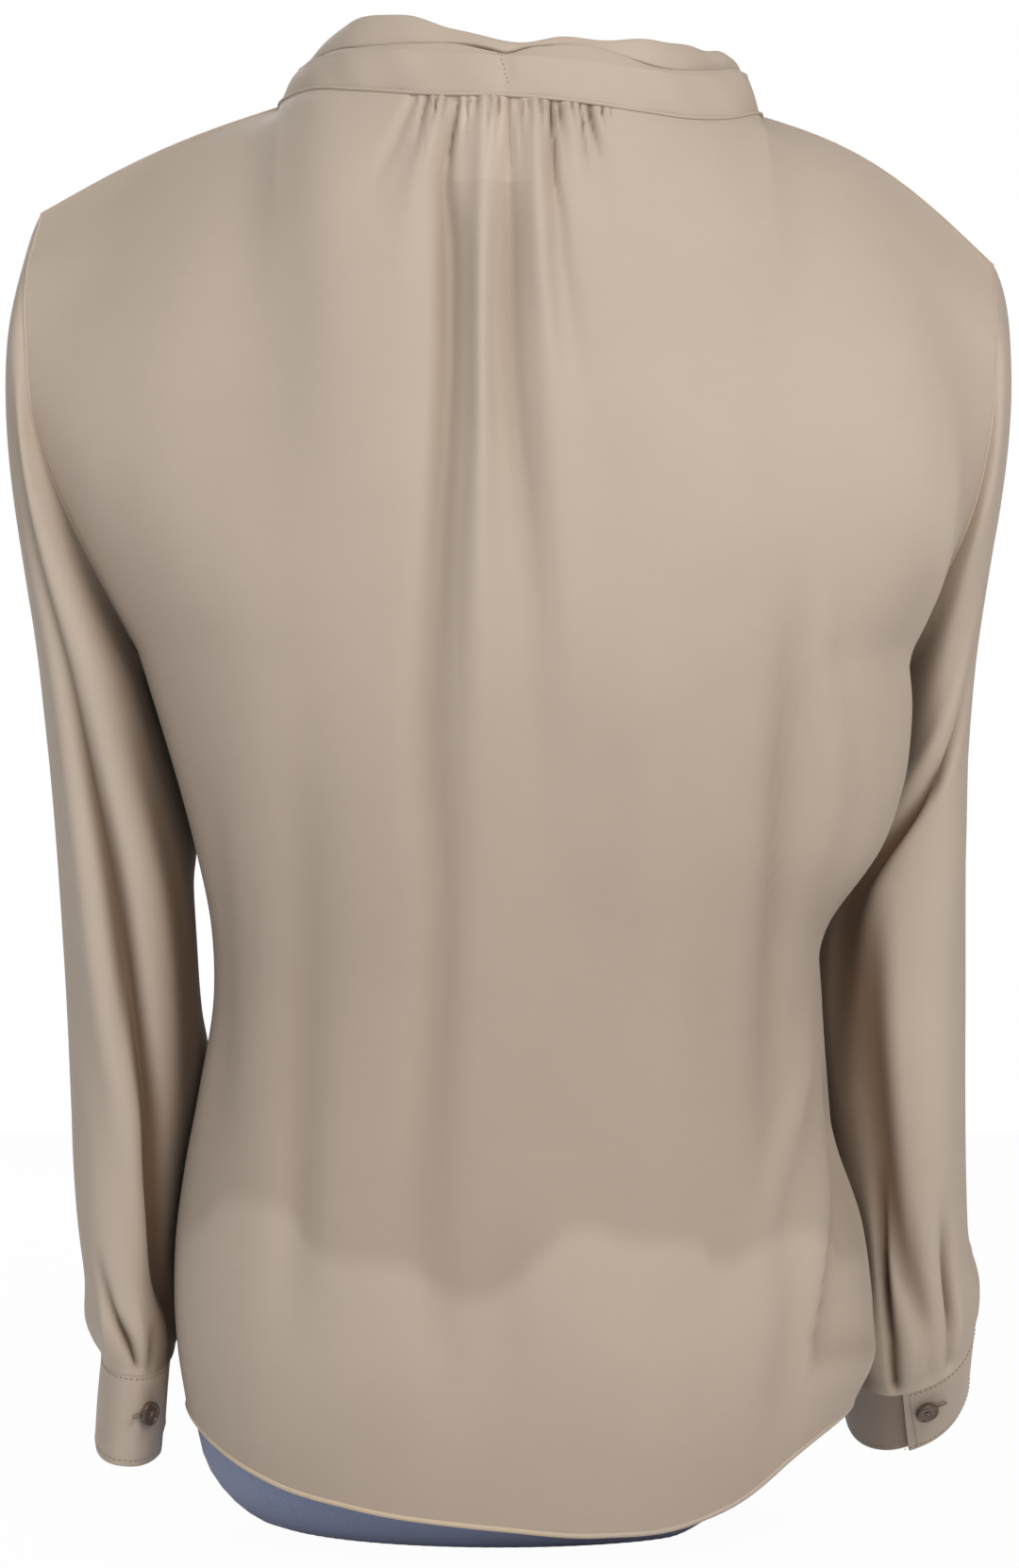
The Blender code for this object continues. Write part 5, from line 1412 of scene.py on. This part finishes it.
def folded_panel(side, gather_depth):
    """A panel with its creases and gathers, and the painted shade of its hollows."""
    columns, rows = panel_lines(side)
    smooth_grid = eased_corners(panel_point(columns, rows, side), columns, rows)
    normals = grid_normals(smooth_grid)
    normals = normals * np.sign(normals[40, 90, 1]) * side
    push = crease_push(smooth_grid, BACK_CREASES if side == BACK else FRONT_CREASES)
    # Painted shade: troughs and gathers are darkened by their depth, and so are the cloth beyond the side pleat
    # and the left flank's underarm fold.
    hollow = trough_shade(push, CREASE_SHADE)
    if side == BACK:
        gathers = gather_push(smooth_grid) * gather_depth / GATHER_DEPTH
        push = push + gathers
        hollow = hollow + trough_shade(gathers, GATHER_SHADE)
        step = side_step(smooth_grid)
        push = push + step
        beyond = np.clip(-step / SIDE_STEP, 0, 1)
        hollow = hollow + PLEAT_SHADE * beyond + PLEAT_EDGE_SHADE * beyond * (1 - beyond)
    inside_edges = ease((2 - np.abs(columns)) / 0.4)
    at_seam = 1 - (1 - SEAM_FLATTENING) * ease((rows - 0.985) / 0.015) * (np.abs(columns) <= 1)
    push = push * inside_edges * at_seam
    uneven = crepe_unevenness(smooth_grid) * inside_edges * ease((1 - rows) / 0.06)
    grid = smooth_grid + normals * (push + uneven)[..., None]
    at_side = (np.abs(columns) >= 2) & (rows <= 0) | (rows >= 1) & (np.abs(columns) >= 1)
    grid[..., 1] = np.where(at_side, smooth_grid[..., 1] + side * HALF_GAP, grid[..., 1])
    if side == BACK:
        grid[..., 0] -= side_flare(smooth_grid)
        flank_shade = ease((smooth_grid[..., 0] - FLANK_X) / 0.05) * bell(smooth_grid[..., 2] - FLANK_Z, 0.06)
        hollow = np.clip(hollow + flank_shade * FLANK_SHADE, 0, 1)
    return grid, hollow


class BLOUSE_OT_finishes(bpy.types.Operator):
    """Makes the finishes of the crepe, the thread, the buttons, the label and the dress form"""

    bl_idname = "blouse.finishes"
    bl_label = "Finishes"

    def execute(self, context):
        cloth, trim = context.scene.blouse_cloth, context.scene.blouse_trim
        colour, shadow = tuple(cloth.colour), tuple(cloth.shadow)
        cloth_material("crepe_back", cloth, colour, shadow, back_shade_and_label=True)
        for name in ("crepe_plain", "crepe_doubled"):
            cloth_material(name, cloth, colour, shadow)
        cloth_material("hem_edge", cloth, tuple(cloth.hem_edge), colour)
        cloth_material("thread", cloth, tuple(trim.thread), shadow)
        cloth_material("label_tape", cloth, tuple(trim.label), toned(trim.label, 0.8))
        jersey_material(tuple(trim.jersey))
        button_material(tuple(trim.button))
        return {"FINISHED"}


# Fine patterns, by their scale, detail and distortion
HEATHER = (900.0, 4.0)
RESIN_CLOUD, RESIN_WEAR = (420.0, 3.0, 1.2), (2600.0, 2.0)


def jersey_material(colour):
    """The form's knitted cover: a fine rib, a slight heather and a soft bloom."""
    tree, shader, place = new_material("jersey_cover")
    uneven = add_grain(tree, shader, place, JERSEY_THREADS, *JERSEY_BUMP)
    heather = noise(tree, place, *HEATHER)
    tint = mix_colours(tree, step_node(tree, heather, 0.30, 0.75), toned(colour, 0.86), toned(colour, 1.14))
    tint = mix_colours(tree, step_node(tree, uneven, 0.4, 1.0), tint, toned(colour, 0.92))
    tree.links.new(tint, shader.inputs["Base Color"])
    values = {"Roughness": 0.88, "Specular IOR Level": 0.2, "Sheen Weight": 0.25, "Sheen Roughness": 0.5}
    set_values(shader, values)


def button_material(colour):
    """Polished brown resin with a slight cloud in it."""
    tree, shader, place = new_material("button_resin")
    cloud = noise(tree, place, *RESIN_CLOUD)
    tint = mix_colours(tree, step_node(tree, cloud, 0.35, 0.7), toned(colour, 0.75), toned(colour, 1.55))
    tree.links.new(tint, shader.inputs["Base Color"])
    wear = noise(tree, place, *RESIN_WEAR)
    rough = add_node(tree, "ShaderNodeMapRange", {"Value": wear, "To Min": 0.22, "To Max": 0.38})
    tree.links.new(rough.outputs[0], shader.inputs["Roughness"])
    set_values(shader, {"Coat Weight": 0.5, "Coat Roughness": 0.12})


class BLOUSE_OT_panels(bpy.types.Operator):
    """Drapes the back and the front, with their creases and the back neck's gathers"""

    bl_idname = "blouse.panels"
    bl_label = "Back and front"

    def execute(self, context):
        depth = context.scene.blouse_cloth.gather_depth
        for side, word, finish in ((BACK, "back", "crepe_back"), (FRONT, "front", "crepe_plain")):
            grid, hollow = folded_panel(side, depth)
            panel = cloth_object(f"{word}_panel", grid, hollow, flip=side == FRONT)
            show(panel, finish, word)
            hem = tube_object(f"{word}_hem", hem_course(grid), HEM_ROLL, sides=8)
            fade_hem(hem)
            sewn_on(hem, "hem_edge")
        return {"FINISHED"}


def fade_hem(hem):
    """Lets the hem's paler edge run out into plain cloth toward the right."""
    plain = [0.2 + 0.8 * float(ease((0.03 - corner.co.x) / 0.12)) for corner in hem.data.vertices]
    set_hollow(hem.data, plain)


def hem_course(grid):
    """The course of the rolled hem, along a panel's lowest row."""
    course = grid[0] + points(0, 0, HEM_ROLL * 0.6)
    inward = course * np.array([1, 1, 0])
    return course - unit(inward) * SHEET * 0.5


class BLOUSE_OT_sleeves(bpy.types.Operator):
    """Hangs the sleeves, each with its winding fold and the pleats above its cuff"""

    bl_idname = "blouse.sleeves"
    bl_label = "Sleeves"

    def execute(self, context):
        for hand, word in HANDS:
            grid, hollow = folded_sleeve(hand)
            outward = grid_normals(grid, around=True)[60, 0, 0] * hand > 0
            sleeve = cloth_object(f"{word}_sleeve_cloth", grid, hollow, around=True, flip=not outward)
            show(sleeve, "crepe_plain", f"{word}_sleeve")
        return {"FINISHED"}


class BLOUSE_OT_cuffs(bpy.types.Operator):
    """Wraps each cuff once round the wrist, its end lapped behind its beginning"""

    bl_idname = "blouse.cuffs"
    bl_label = "Cuffs"

    def execute(self, context):
        for hand, word in HANDS:
            grid, hollow = cuff_surface(hand)
            outward = grid_normals(grid)[10, 40] @ (grid[10, 40] - grid[10].mean(axis=0)) > 0
            name = f"{word}_cuff_cloth"
            cuff = cloth_object(name, grid, hollow, thickness=CUFF_SHEET, flip=not outward)
            show(cuff, "crepe_plain", f"{word}_cuff")
        return {"FINISHED"}


class BLOUSE_OT_collar(bpy.types.Operator):
    """Stands the neck band on its seam and lays the soft roll along its top"""

    bl_idname = "blouse.collar"
    bl_label = "Collar"

    def execute(self, context):
        grid, hollow = stand_surface()
        outward = grid_normals(grid)[10, COLLAR_STEPS // 2, 1] > 0
        band = cloth_object("neck_band", grid, hollow, flip=not outward)
        show(band, "crepe_doubled", "collar_stand")
        roll = capped_tube("neck_roll", *roll_surface())
        show(roll, "crepe_doubled", "collar_roll")
        return {"FINISHED"}


# Pitch, length and thickness of the cuffs' stitches, and of those that tack the collar
CUFF_STITCH = (0.0026, 0.0017, 0.00042)
TACK_STITCH = (0.0024, 0.0010, 0.00042)
STITCHES_PROUD = 0.00012

# How far down a cuff its two rows of stitches lie
UPPER_ROW, LOWER_ROW = 0.0018, CUFF_HEIGHT - 0.003


def side_seam(hand):
    """The course of a side seam, from the hem to the underarm."""
    rows = np.linspace(-1, 0, 70)
    course = panel_point(np.full_like(rows, 2.0 * hand), rows, BACK)
    return course * np.array([1, 0, 1]) + points(hand * 0.0001, 0, 0)


def shoulder_seam(hand):
    columns = np.linspace(1, 2, 60) * hand
    return top_edge(columns, BACK) + points(0, 0, 0.0001)


def armhole_seam(hand):
    """The closed course of an armhole seam, just outside the body."""
    angles = np.linspace(0, 2 * np.pi, 181)
    return sleeve_seam(hand, angles) + points(hand * SLEEVE_SET_OUT * 0.5, 0, 0)


def neck_seam():
    place = np.linspace(-COLLAR_END, COLLAR_END, 360)
    at, rise, face = collar_frame(place)
    return at + rise * SEAM_GAP + face * SEAM_RIDGE * 0.35


def cuff_line(hand, down):
    """A course round a cuff, just on its face, from its upper end to where the under-lap begins."""
    turned = np.linspace(3, 348, 200)
    angle = np.radians(CUFF_EDGE_FROM[hand] - turned)
    set_in = under_lap(turned) * UNDER_LAP_DEPTH - STITCHES_PROUD
    return cuff_point(hand, angle, np.full_like(angle, down), set_in)[0]


def cuff_end_line(hand):
    """A course down a cuff's lapped edge."""
    down = np.linspace(0.003, CUFF_HEIGHT - 0.003, 60)
    angle = np.radians(CUFF_EDGE_FROM[hand] - 5 - CUFF_EDGE_SLANT[hand] * down / CUFF_HEIGHT)
    return cuff_point(hand, angle, down, np.full_like(down, -STITCHES_PROUD))[0]


def tack_line():
    """The upright course of the stitches that tack the collar down at centre back."""
    grid = stand_surface()[0]
    normals = grid_normals(grid)
    rows = np.arange(FACE_ROWS + FACET_ROWS)
    column = COLLAR_STEPS // 2 + np.round(5 * rows / rows[-1] - 2).astype(int)
    out = normals[rows, column] * np.sign(normals[rows, column, 1])[:, None]
    return (grid[rows, column] + out * SHEET * 0.25)[5:]


class BLOUSE_OT_sewing(bpy.types.Operator):
    """Adds the seams' ridges, the rows of stitches and the buttonholes"""

    bl_idname = "blouse.sewing"
    bl_label = "Seams and stitches"

    def execute(self, context):
        crepe, thread = "crepe_plain", "thread"
        sewn_on(tube_object("neck_seam_ridge", neck_seam(), SEAM_RIDGE, sides=8), crepe)
        ridges = []
        for hand, word in HANDS:
            for seam, thickness in ((side_seam, 1), (shoulder_seam, 1), (armhole_seam, 1.3)):
                ridges.append(tube_object(f"{word}_ridge", seam(hand), FINE_RIDGE * thickness))
        sewn_on(join_objects("seam_ridges", ridges), crepe)
        for hand, word in HANDS:
            courses = (cuff_line(hand, UPPER_ROW), cuff_line(hand, LOWER_ROW), cuff_end_line(hand))
            rows = [stitch_row("row", course, *CUFF_STITCH) for course in courses]
            sewn_on(join_objects(f"{word}_cuff_stitches", rows), thread)
            sewn_on(buttonhole(hand, word), thread)
        sewn_on(stitch_row("collar_tack_stitches", tack_line(), *TACK_STITCH), thread)
        return {"FINISHED"}


BUTTONHOLE_LENGTH, BUTTONHOLE_WIDTH, BUTTONHOLE_THREAD = 0.0150, 0.0017, 0.0004
BUTTONHOLE_SHIFT = -0.0030


def buttonhole(hand, word):
    """A worked buttonhole: a long ring of thread lying on the cuff under its button."""
    ring = plain_shape(
        bpy.ops.mesh.primitive_torus_add,
        f"{word}_buttonhole",
        major_segments=72,
        minor_segments=8,
        major_radius=BUTTONHOLE_WIDTH / 2,
        minor_radius=BUTTONHOLE_THREAD,
    )
    stretch = (BUTTONHOLE_LENGTH - BUTTONHOLE_WIDTH) / 2
    for vertex in ring.data.vertices:
        vertex.co.x += math.copysign(stretch, vertex.co.x)
    ring.data.transform(button_frame(hand) @ Matrix.Translation((BUTTONHOLE_SHIFT, 0, -BUTTON_LIFT + 0.0001)))
    smooth(ring, 60)
    return ring


class BLOUSE_OT_buttons(bpy.types.Operator):
    """Turns the cuff buttons, each with a raised rim, four holes and its crossed thread"""

    bl_idname = "blouse.buttons"
    bl_label = "Buttons"

    def execute(self, context):
        trim = context.scene.blouse_trim
        disc = turned_button(trim.button_radius, trim.button_thickness)
        threads = crossed_thread(trim.button_thickness)
        for hand, word in HANDS:
            button, crossed = copied(disc, f"{word}_button"), copied(threads, f"{word}_button_thread")
            for made in (button, crossed):
                made.data.transform(button_frame(hand))
            show(button, "button_resin", f"{word}_cuff_button")
            sewn_on(crossed, "thread")
        for first in (disc, threads):
            bpy.data.objects.remove(first)
        return {"FINISHED"}


BUTTON_HOLE_AT, BUTTON_HOLE_RADIUS = 0.0010, 0.00048

# In parts of a button's radius and thickness: its rim's width, and how its face is dished inside it
BUTTON_RIM = 0.20
BUTTON_DISHES = ((0.08, 0.22), (0.34, 0.10))


def turned_button(radius, thickness):
    """A button modelled flat at the origin, its back on Z = 0."""
    disc = cylinder("disc", 64, radius, thickness, (0, 0, thickness / 2))
    bpy.ops.object.mode_set(mode="EDIT")
    bpy.ops.mesh.select_mode(type="FACE")
    select_faces(disc, lambda face: face.normal.z > 0.9)
    bpy.ops.mesh.inset(thickness=radius * BUTTON_RIM)
    for inwards, sunk in BUTTON_DISHES:
        bpy.ops.mesh.inset(thickness=radius * inwards)
        bpy.ops.transform.translate(value=(0, 0, -thickness * sunk))
    bpy.ops.object.mode_set(mode="OBJECT")
    bpy.ops.object.transform_apply()
    edge = disc.modifiers.new("edge", "BEVEL")
    edge.width, edge.segments, edge.angle_limit = thickness * 0.22, 3, math.radians(50)
    apply_modifiers(disc)
    for x in (-1, 1):
        for y in (-1, 1):
            at = (x * BUTTON_HOLE_AT, y * BUTTON_HOLE_AT, thickness / 2)
            drill = cylinder("drill", 20, BUTTON_HOLE_RADIUS, thickness * 3, at)
            hole = disc.modifiers.new("hole", "BOOLEAN")
            hole.operation, hole.object, hole.solver = "DIFFERENCE", drill, "EXACT"
            apply_modifiers(disc)
            bpy.data.objects.remove(drill)
    smooth(disc, 40)
    return disc


def crossed_thread(thickness):
    """Two crossed strands over a button's holes, and its short shank."""
    strands = []
    high, low = thickness * 0.86, thickness * 0.45
    for sign in (-1, 1):
        across = np.linspace(-1, 1, 15)
        arch = low + (high - low) * np.sqrt(np.clip(1 - across**4, 0, 1)) + 0.0002 * (sign > 0)
        course = points(across * BUTTON_HOLE_AT, sign * across * BUTTON_HOLE_AT, arch)
        strands.append(tube_object("strand", course, 0.0003))
    shank = points(0, 0, np.linspace(-BUTTON_LIFT, thickness * 0.3, 5))
    strands.append(tube_object("strand", shank, 0.0009, sides=8))
    return join_objects("threads", strands)


def select_faces(mesh_object, wanted):
    """In edit mode, selects the faces for which wanted says so, and no others."""
    bpy.ops.mesh.select_all(action="DESELECT")
    shape = bmesh.from_edit_mesh(mesh_object.data)
    for face in shape.faces:
        face.select_set(wanted(face))
    bmesh.update_edit_mesh(mesh_object.data)


LABEL_THICKNESS = 0.0006
LABEL_SPAN = (0.0236, -0.0116)
LABEL_DEPTH = (0.0008, 0.034)
LABEL_CLEARANCE = 0.0004
LABEL_RIPPLE = 0.0002


class BLOUSE_OT_label(bpy.types.Operator):
    """Hangs the blank label inside the back neck"""

    bl_idname = "blouse.label"
    bl_label = "Neck label"

    def execute(self, context):
        x = np.linspace(*LABEL_SPAN, 40)[None, :]
        column = np.arcsin(np.where(x >= 0, x / NECK_LEFT, x / NECK_RIGHT)) * 2 / np.pi
        reach = np.linalg.norm(panel_point(column, 1, BACK) - panel_point(column, 0.9, BACK), axis=-1)
        depth = np.linspace(LABEL_DEPTH[1], LABEL_DEPTH[0], 36)[:, None]
        place = panel_point(column, 1 - 0.1 * depth / reach, BACK)
        push = crease_push(place, BACK_CREASES) + gather_push(place)
        deepest = push.min(axis=1, keepdims=True) * np.where(depth < 0.004, 0.45, 1)
        into = CLOTH + LABEL_CLEARANCE - deepest + LABEL_RIPPLE * np.sin(x * 260)
        grid = place + unit(points(0, -1, -0.12)) * into[..., None]
        label = cloth_object("label_tape", grid, np.zeros_like(grid[..., 0]), thickness=LABEL_THICKNESS)
        show(label, "label_tape", "neck_label")
        return {"FINISHED"}


# The share of its reach by which the form's lower edge is drawn in on the right, and how far it is raised there
EDGE_DRAWN_IN = 0.07
EDGE_RAISED = 0.006

# The slight crown of the form's top, and the rim round its base
CROWN_WIDTH, CROWN_RISE = 0.012, 0.0012
BASE_RIM = 0.004


class BLOUSE_OT_form(bpy.types.Operator):
    """Raises the dress form from its base, ring by ring"""

    bl_idname = "blouse.form"
    bl_label = "Dress form"

    def execute(self, context):
        places = points(FORM["shift"], (FORM["back"] + FORM["front"]) / 2, FORM["z"])
        sizes = points(FORM["half_width"], (FORM["back"] - FORM["front"]) / 2, 1)
        form = disc_shape("form_body", 96, 1)
        form.scale = sizes[0]
        bpy.ops.object.transform_apply(location=False, rotation=False, scale=True)
        bpy.ops.object.mode_set(mode="EDIT")
        bpy.ops.mesh.select_all(action="SELECT")
        bpy.ops.transform.translate(value=places[0] * (1, 1, 0))
        for i in range(1, len(places)):
            bpy.ops.mesh.extrude_region_move(TRANSFORM_OT_translate={"value": places[i] - places[i - 1]})
            bpy.ops.transform.resize(value=sizes[i] / sizes[i - 1], center_override=places[i])
        bpy.ops.mesh.inset(thickness=CROWN_WIDTH)
        bpy.ops.transform.translate(value=(0, 0, CROWN_RISE))
        select_faces(form, lambda face: len(face.verts) > 4 and face.calc_center_median().z < 0.01)
        bpy.ops.mesh.inset(thickness=BASE_RIM)
        bpy.ops.mesh.select_all(action="SELECT")
        bpy.ops.mesh.normals_make_consistent(inside=False)
        bpy.ops.object.mode_set(mode="OBJECT")
        rounded = form.modifiers.new("rounded", "SUBSURF")
        rounded.levels = rounded.render_levels = 1
        apply_modifiers(form)
        draw_in_edge(form)
        smooth(form, 40)
        show(form, "jersey_cover", "dress_form")
        return {"FINISHED"}


def draw_in_edge(form):
    """Draws the form's lower edge in on the right, where the hem hides it."""
    for corner in form.data.vertices:
        x, _, z = corner.co
        beside = float(ease((-0.055 - x) / 0.055) * ease((0.085 - z) / 0.055))
        corner.co.x = x * (1 - EDGE_DRAWN_IN * beside)
        corner.co.z = z + EDGE_RAISED * float(ease((-0.075 - x) / 0.04) * ease((0.034 - z) / 0.034))


# The stage: a round floor that is seen a little less bright than the white around it
FLOOR_RADIUS = 2.4
FLOOR_GLOW = 0.97
WHITE_LIGHT = {"Color": (1, 1, 1, 1), "Strength": 1.0}

# Each soft light: where it stands, what it faces, its width and height, and its colour
LIGHTS = {
    "key": ((-0.80, 1.55, 1.55), (-0.05, 0.0, 0.48), (1.0, 0.8), (1.0, 0.965, 0.925)),
    "fill": ((0.95, 1.5, 0.95), (0.03, 0.0, 0.42), (1.0, 1.2), (0.95, 0.97, 1.0)),
    "front": ((0.7, -1.9, 1.3), (0.0, 0.0, 0.36), (1.4, 1.2), (1.0, 0.985, 0.965)),
}

# The camera, level behind the blouse. The scale is that of the image on the plane of the form's middle.
CAMERA_X = -0.0014
IMAGE_HEIGHT = 1662
PIXELS_PER_METRE = 4719.1 / 2.1
SENSOR_HEIGHT = 36.0


class BLOUSE_OT_stage(bpy.types.Operator):
    """Sets up the pale floor, the white surroundings, the soft lights and the camera behind the blouse"""

    bl_idname = "blouse.stage"
    bl_label = "Stage, lights and camera"

    def execute(self, context):
        look = context.scene.blouse_stage
        white_floor(tuple(look.floor))
        area_light("key", look.key_watts)
        area_light("fill", look.fill_watts)
        area_light("front", look.front_watts)
        context.scene.world = white_room(look.air)
        context.scene.view_settings.view_transform = "Standard"
        context.scene.view_settings.look = "None"
        lens = bpy.data.cameras.new("camera")
        lens.sensor_fit = "VERTICAL"
        lens.sensor_height = SENSOR_HEIGHT
        lens.lens = SENSOR_HEIGHT * look.camera_distance * PIXELS_PER_METRE / IMAGE_HEIGHT
        camera = bpy.data.objects.new("camera", lens)
        context.collection.objects.link(camera)
        camera.location = (CAMERA_X, look.camera_distance, look.camera_height)
        camera.rotation_euler = (math.radians(90), 0, math.radians(180))
        context.scene.camera = camera
        return {"FINISHED"}


def white_floor(colour):
    """A round pale floor, bright enough to run into the white room behind it."""
    floor = disc_shape("floor", 128, FLOOR_RADIUS)
    tree, shader, place = new_material("floor_paper")
    mottle = noise(tree, place, 6.0, 3.0)
    tree.links.new(mix_colours(tree, mottle, toned(colour, 0.99), colour), shader.inputs["Base Color"])
    set_values(shader, {"Roughness": 0.9})
    glow = add_node(tree, "ShaderNodeEmission", WHITE_LIGHT)
    seen_as(tree, shader, glow, math_node(tree, "MULTIPLY", camera_ray(tree), FLOOR_GLOW), "Material Output")
    floor.data.materials.append(bpy.data.materials["floor_paper"])
    return floor


def white_room(air):
    """Surroundings that look white, and light the blouse a little from all sides."""
    world = bpy.data.worlds.new("white_room")
    world.use_nodes = True
    tree = world.node_tree
    lit = tree.nodes["Background"]
    set_values(lit, {**WHITE_LIGHT, "Strength": air})
    seen_as(tree, lit, add_node(tree, "ShaderNodeBackground", WHITE_LIGHT), camera_ray(tree), "World Output")
    return world


def camera_ray(tree):
    return add_node(tree, "ShaderNodeLightPath").outputs["Is Camera Ray"]


def seen_as(tree, lit, seen, share, output):
    """Lets a share of a second shader be seen in place of the one that gives the light."""
    both = add_node(tree, "ShaderNodeMixShader", {0: share, 1: lit.outputs[0], 2: seen.outputs[0]})
    tree.links.new(both.outputs[0], tree.nodes[output].inputs["Surface"])


def area_light(name, watts):
    """A soft rectangular light, turned towards a place."""
    place, target, size, colour = LIGHTS[name]
    light = bpy.data.lights.new(name, "AREA")
    light.shape = "RECTANGLE"
    light.size, light.size_y = size
    light.energy = watts
    light.color = colour
    made = bpy.data.objects.new(name, light)
    bpy.context.collection.objects.link(made)
    made.location = place
    made.rotation_euler = (Vector(target) - Vector(place)).to_track_quat("-Z", "Y").to_euler()
    return made


OPERATORS = (
    BLOUSE_OT_finishes,
    BLOUSE_OT_form,
    BLOUSE_OT_panels,
    BLOUSE_OT_sleeves,
    BLOUSE_OT_cuffs,
    BLOUSE_OT_collar,
    BLOUSE_OT_sewing,
    BLOUSE_OT_buttons,
    BLOUSE_OT_label,
    BLOUSE_OT_stage,
)


class BLOUSE_PT_panel(bpy.types.Panel):
    """The blouse's looks and the steps that build it"""

    bl_idname = "BLOUSE_PT_panel"
    bl_label = "Crepe blouse"
    bl_space_type = "VIEW_3D"
    bl_region_type = "UI"
    bl_category = "Blouse"

    def draw(self, context):
        for look in (context.scene.blouse_cloth, context.scene.blouse_trim, context.scene.blouse_stage):
            box = self.layout.box()
            for name in look.__annotations__:
                box.prop(look, name)
        for step in OPERATORS:
            self.layout.operator(step.bl_idname)


CLASSES = (ClothLook, TrimLook, StageLook, *OPERATORS, BLOUSE_PT_panel)


def register():
    for made in CLASSES:
        bpy.utils.register_class(made)
    bpy.types.Scene.blouse_cloth = bpy.props.PointerProperty(type=ClothLook)
    bpy.types.Scene.blouse_trim = bpy.props.PointerProperty(type=TrimLook)
    bpy.types.Scene.blouse_stage = bpy.props.PointerProperty(type=StageLook)


def unregister():
    del bpy.types.Scene.blouse_cloth, bpy.types.Scene.blouse_trim, bpy.types.Scene.blouse_stage
    for made in reversed(CLASSES):
        bpy.utils.unregister_class(made)


def main():
    register()
    bpy.ops.blouse.finishes()
    bpy.ops.blouse.form()
    bpy.ops.blouse.panels()
    bpy.ops.blouse.sleeves()
    bpy.ops.blouse.cuffs()
    bpy.ops.blouse.collar()
    bpy.ops.blouse.sewing()
    bpy.ops.blouse.buttons()
    bpy.ops.blouse.label()
    bpy.ops.blouse.stage()


if __name__ == "__main__":
    main()
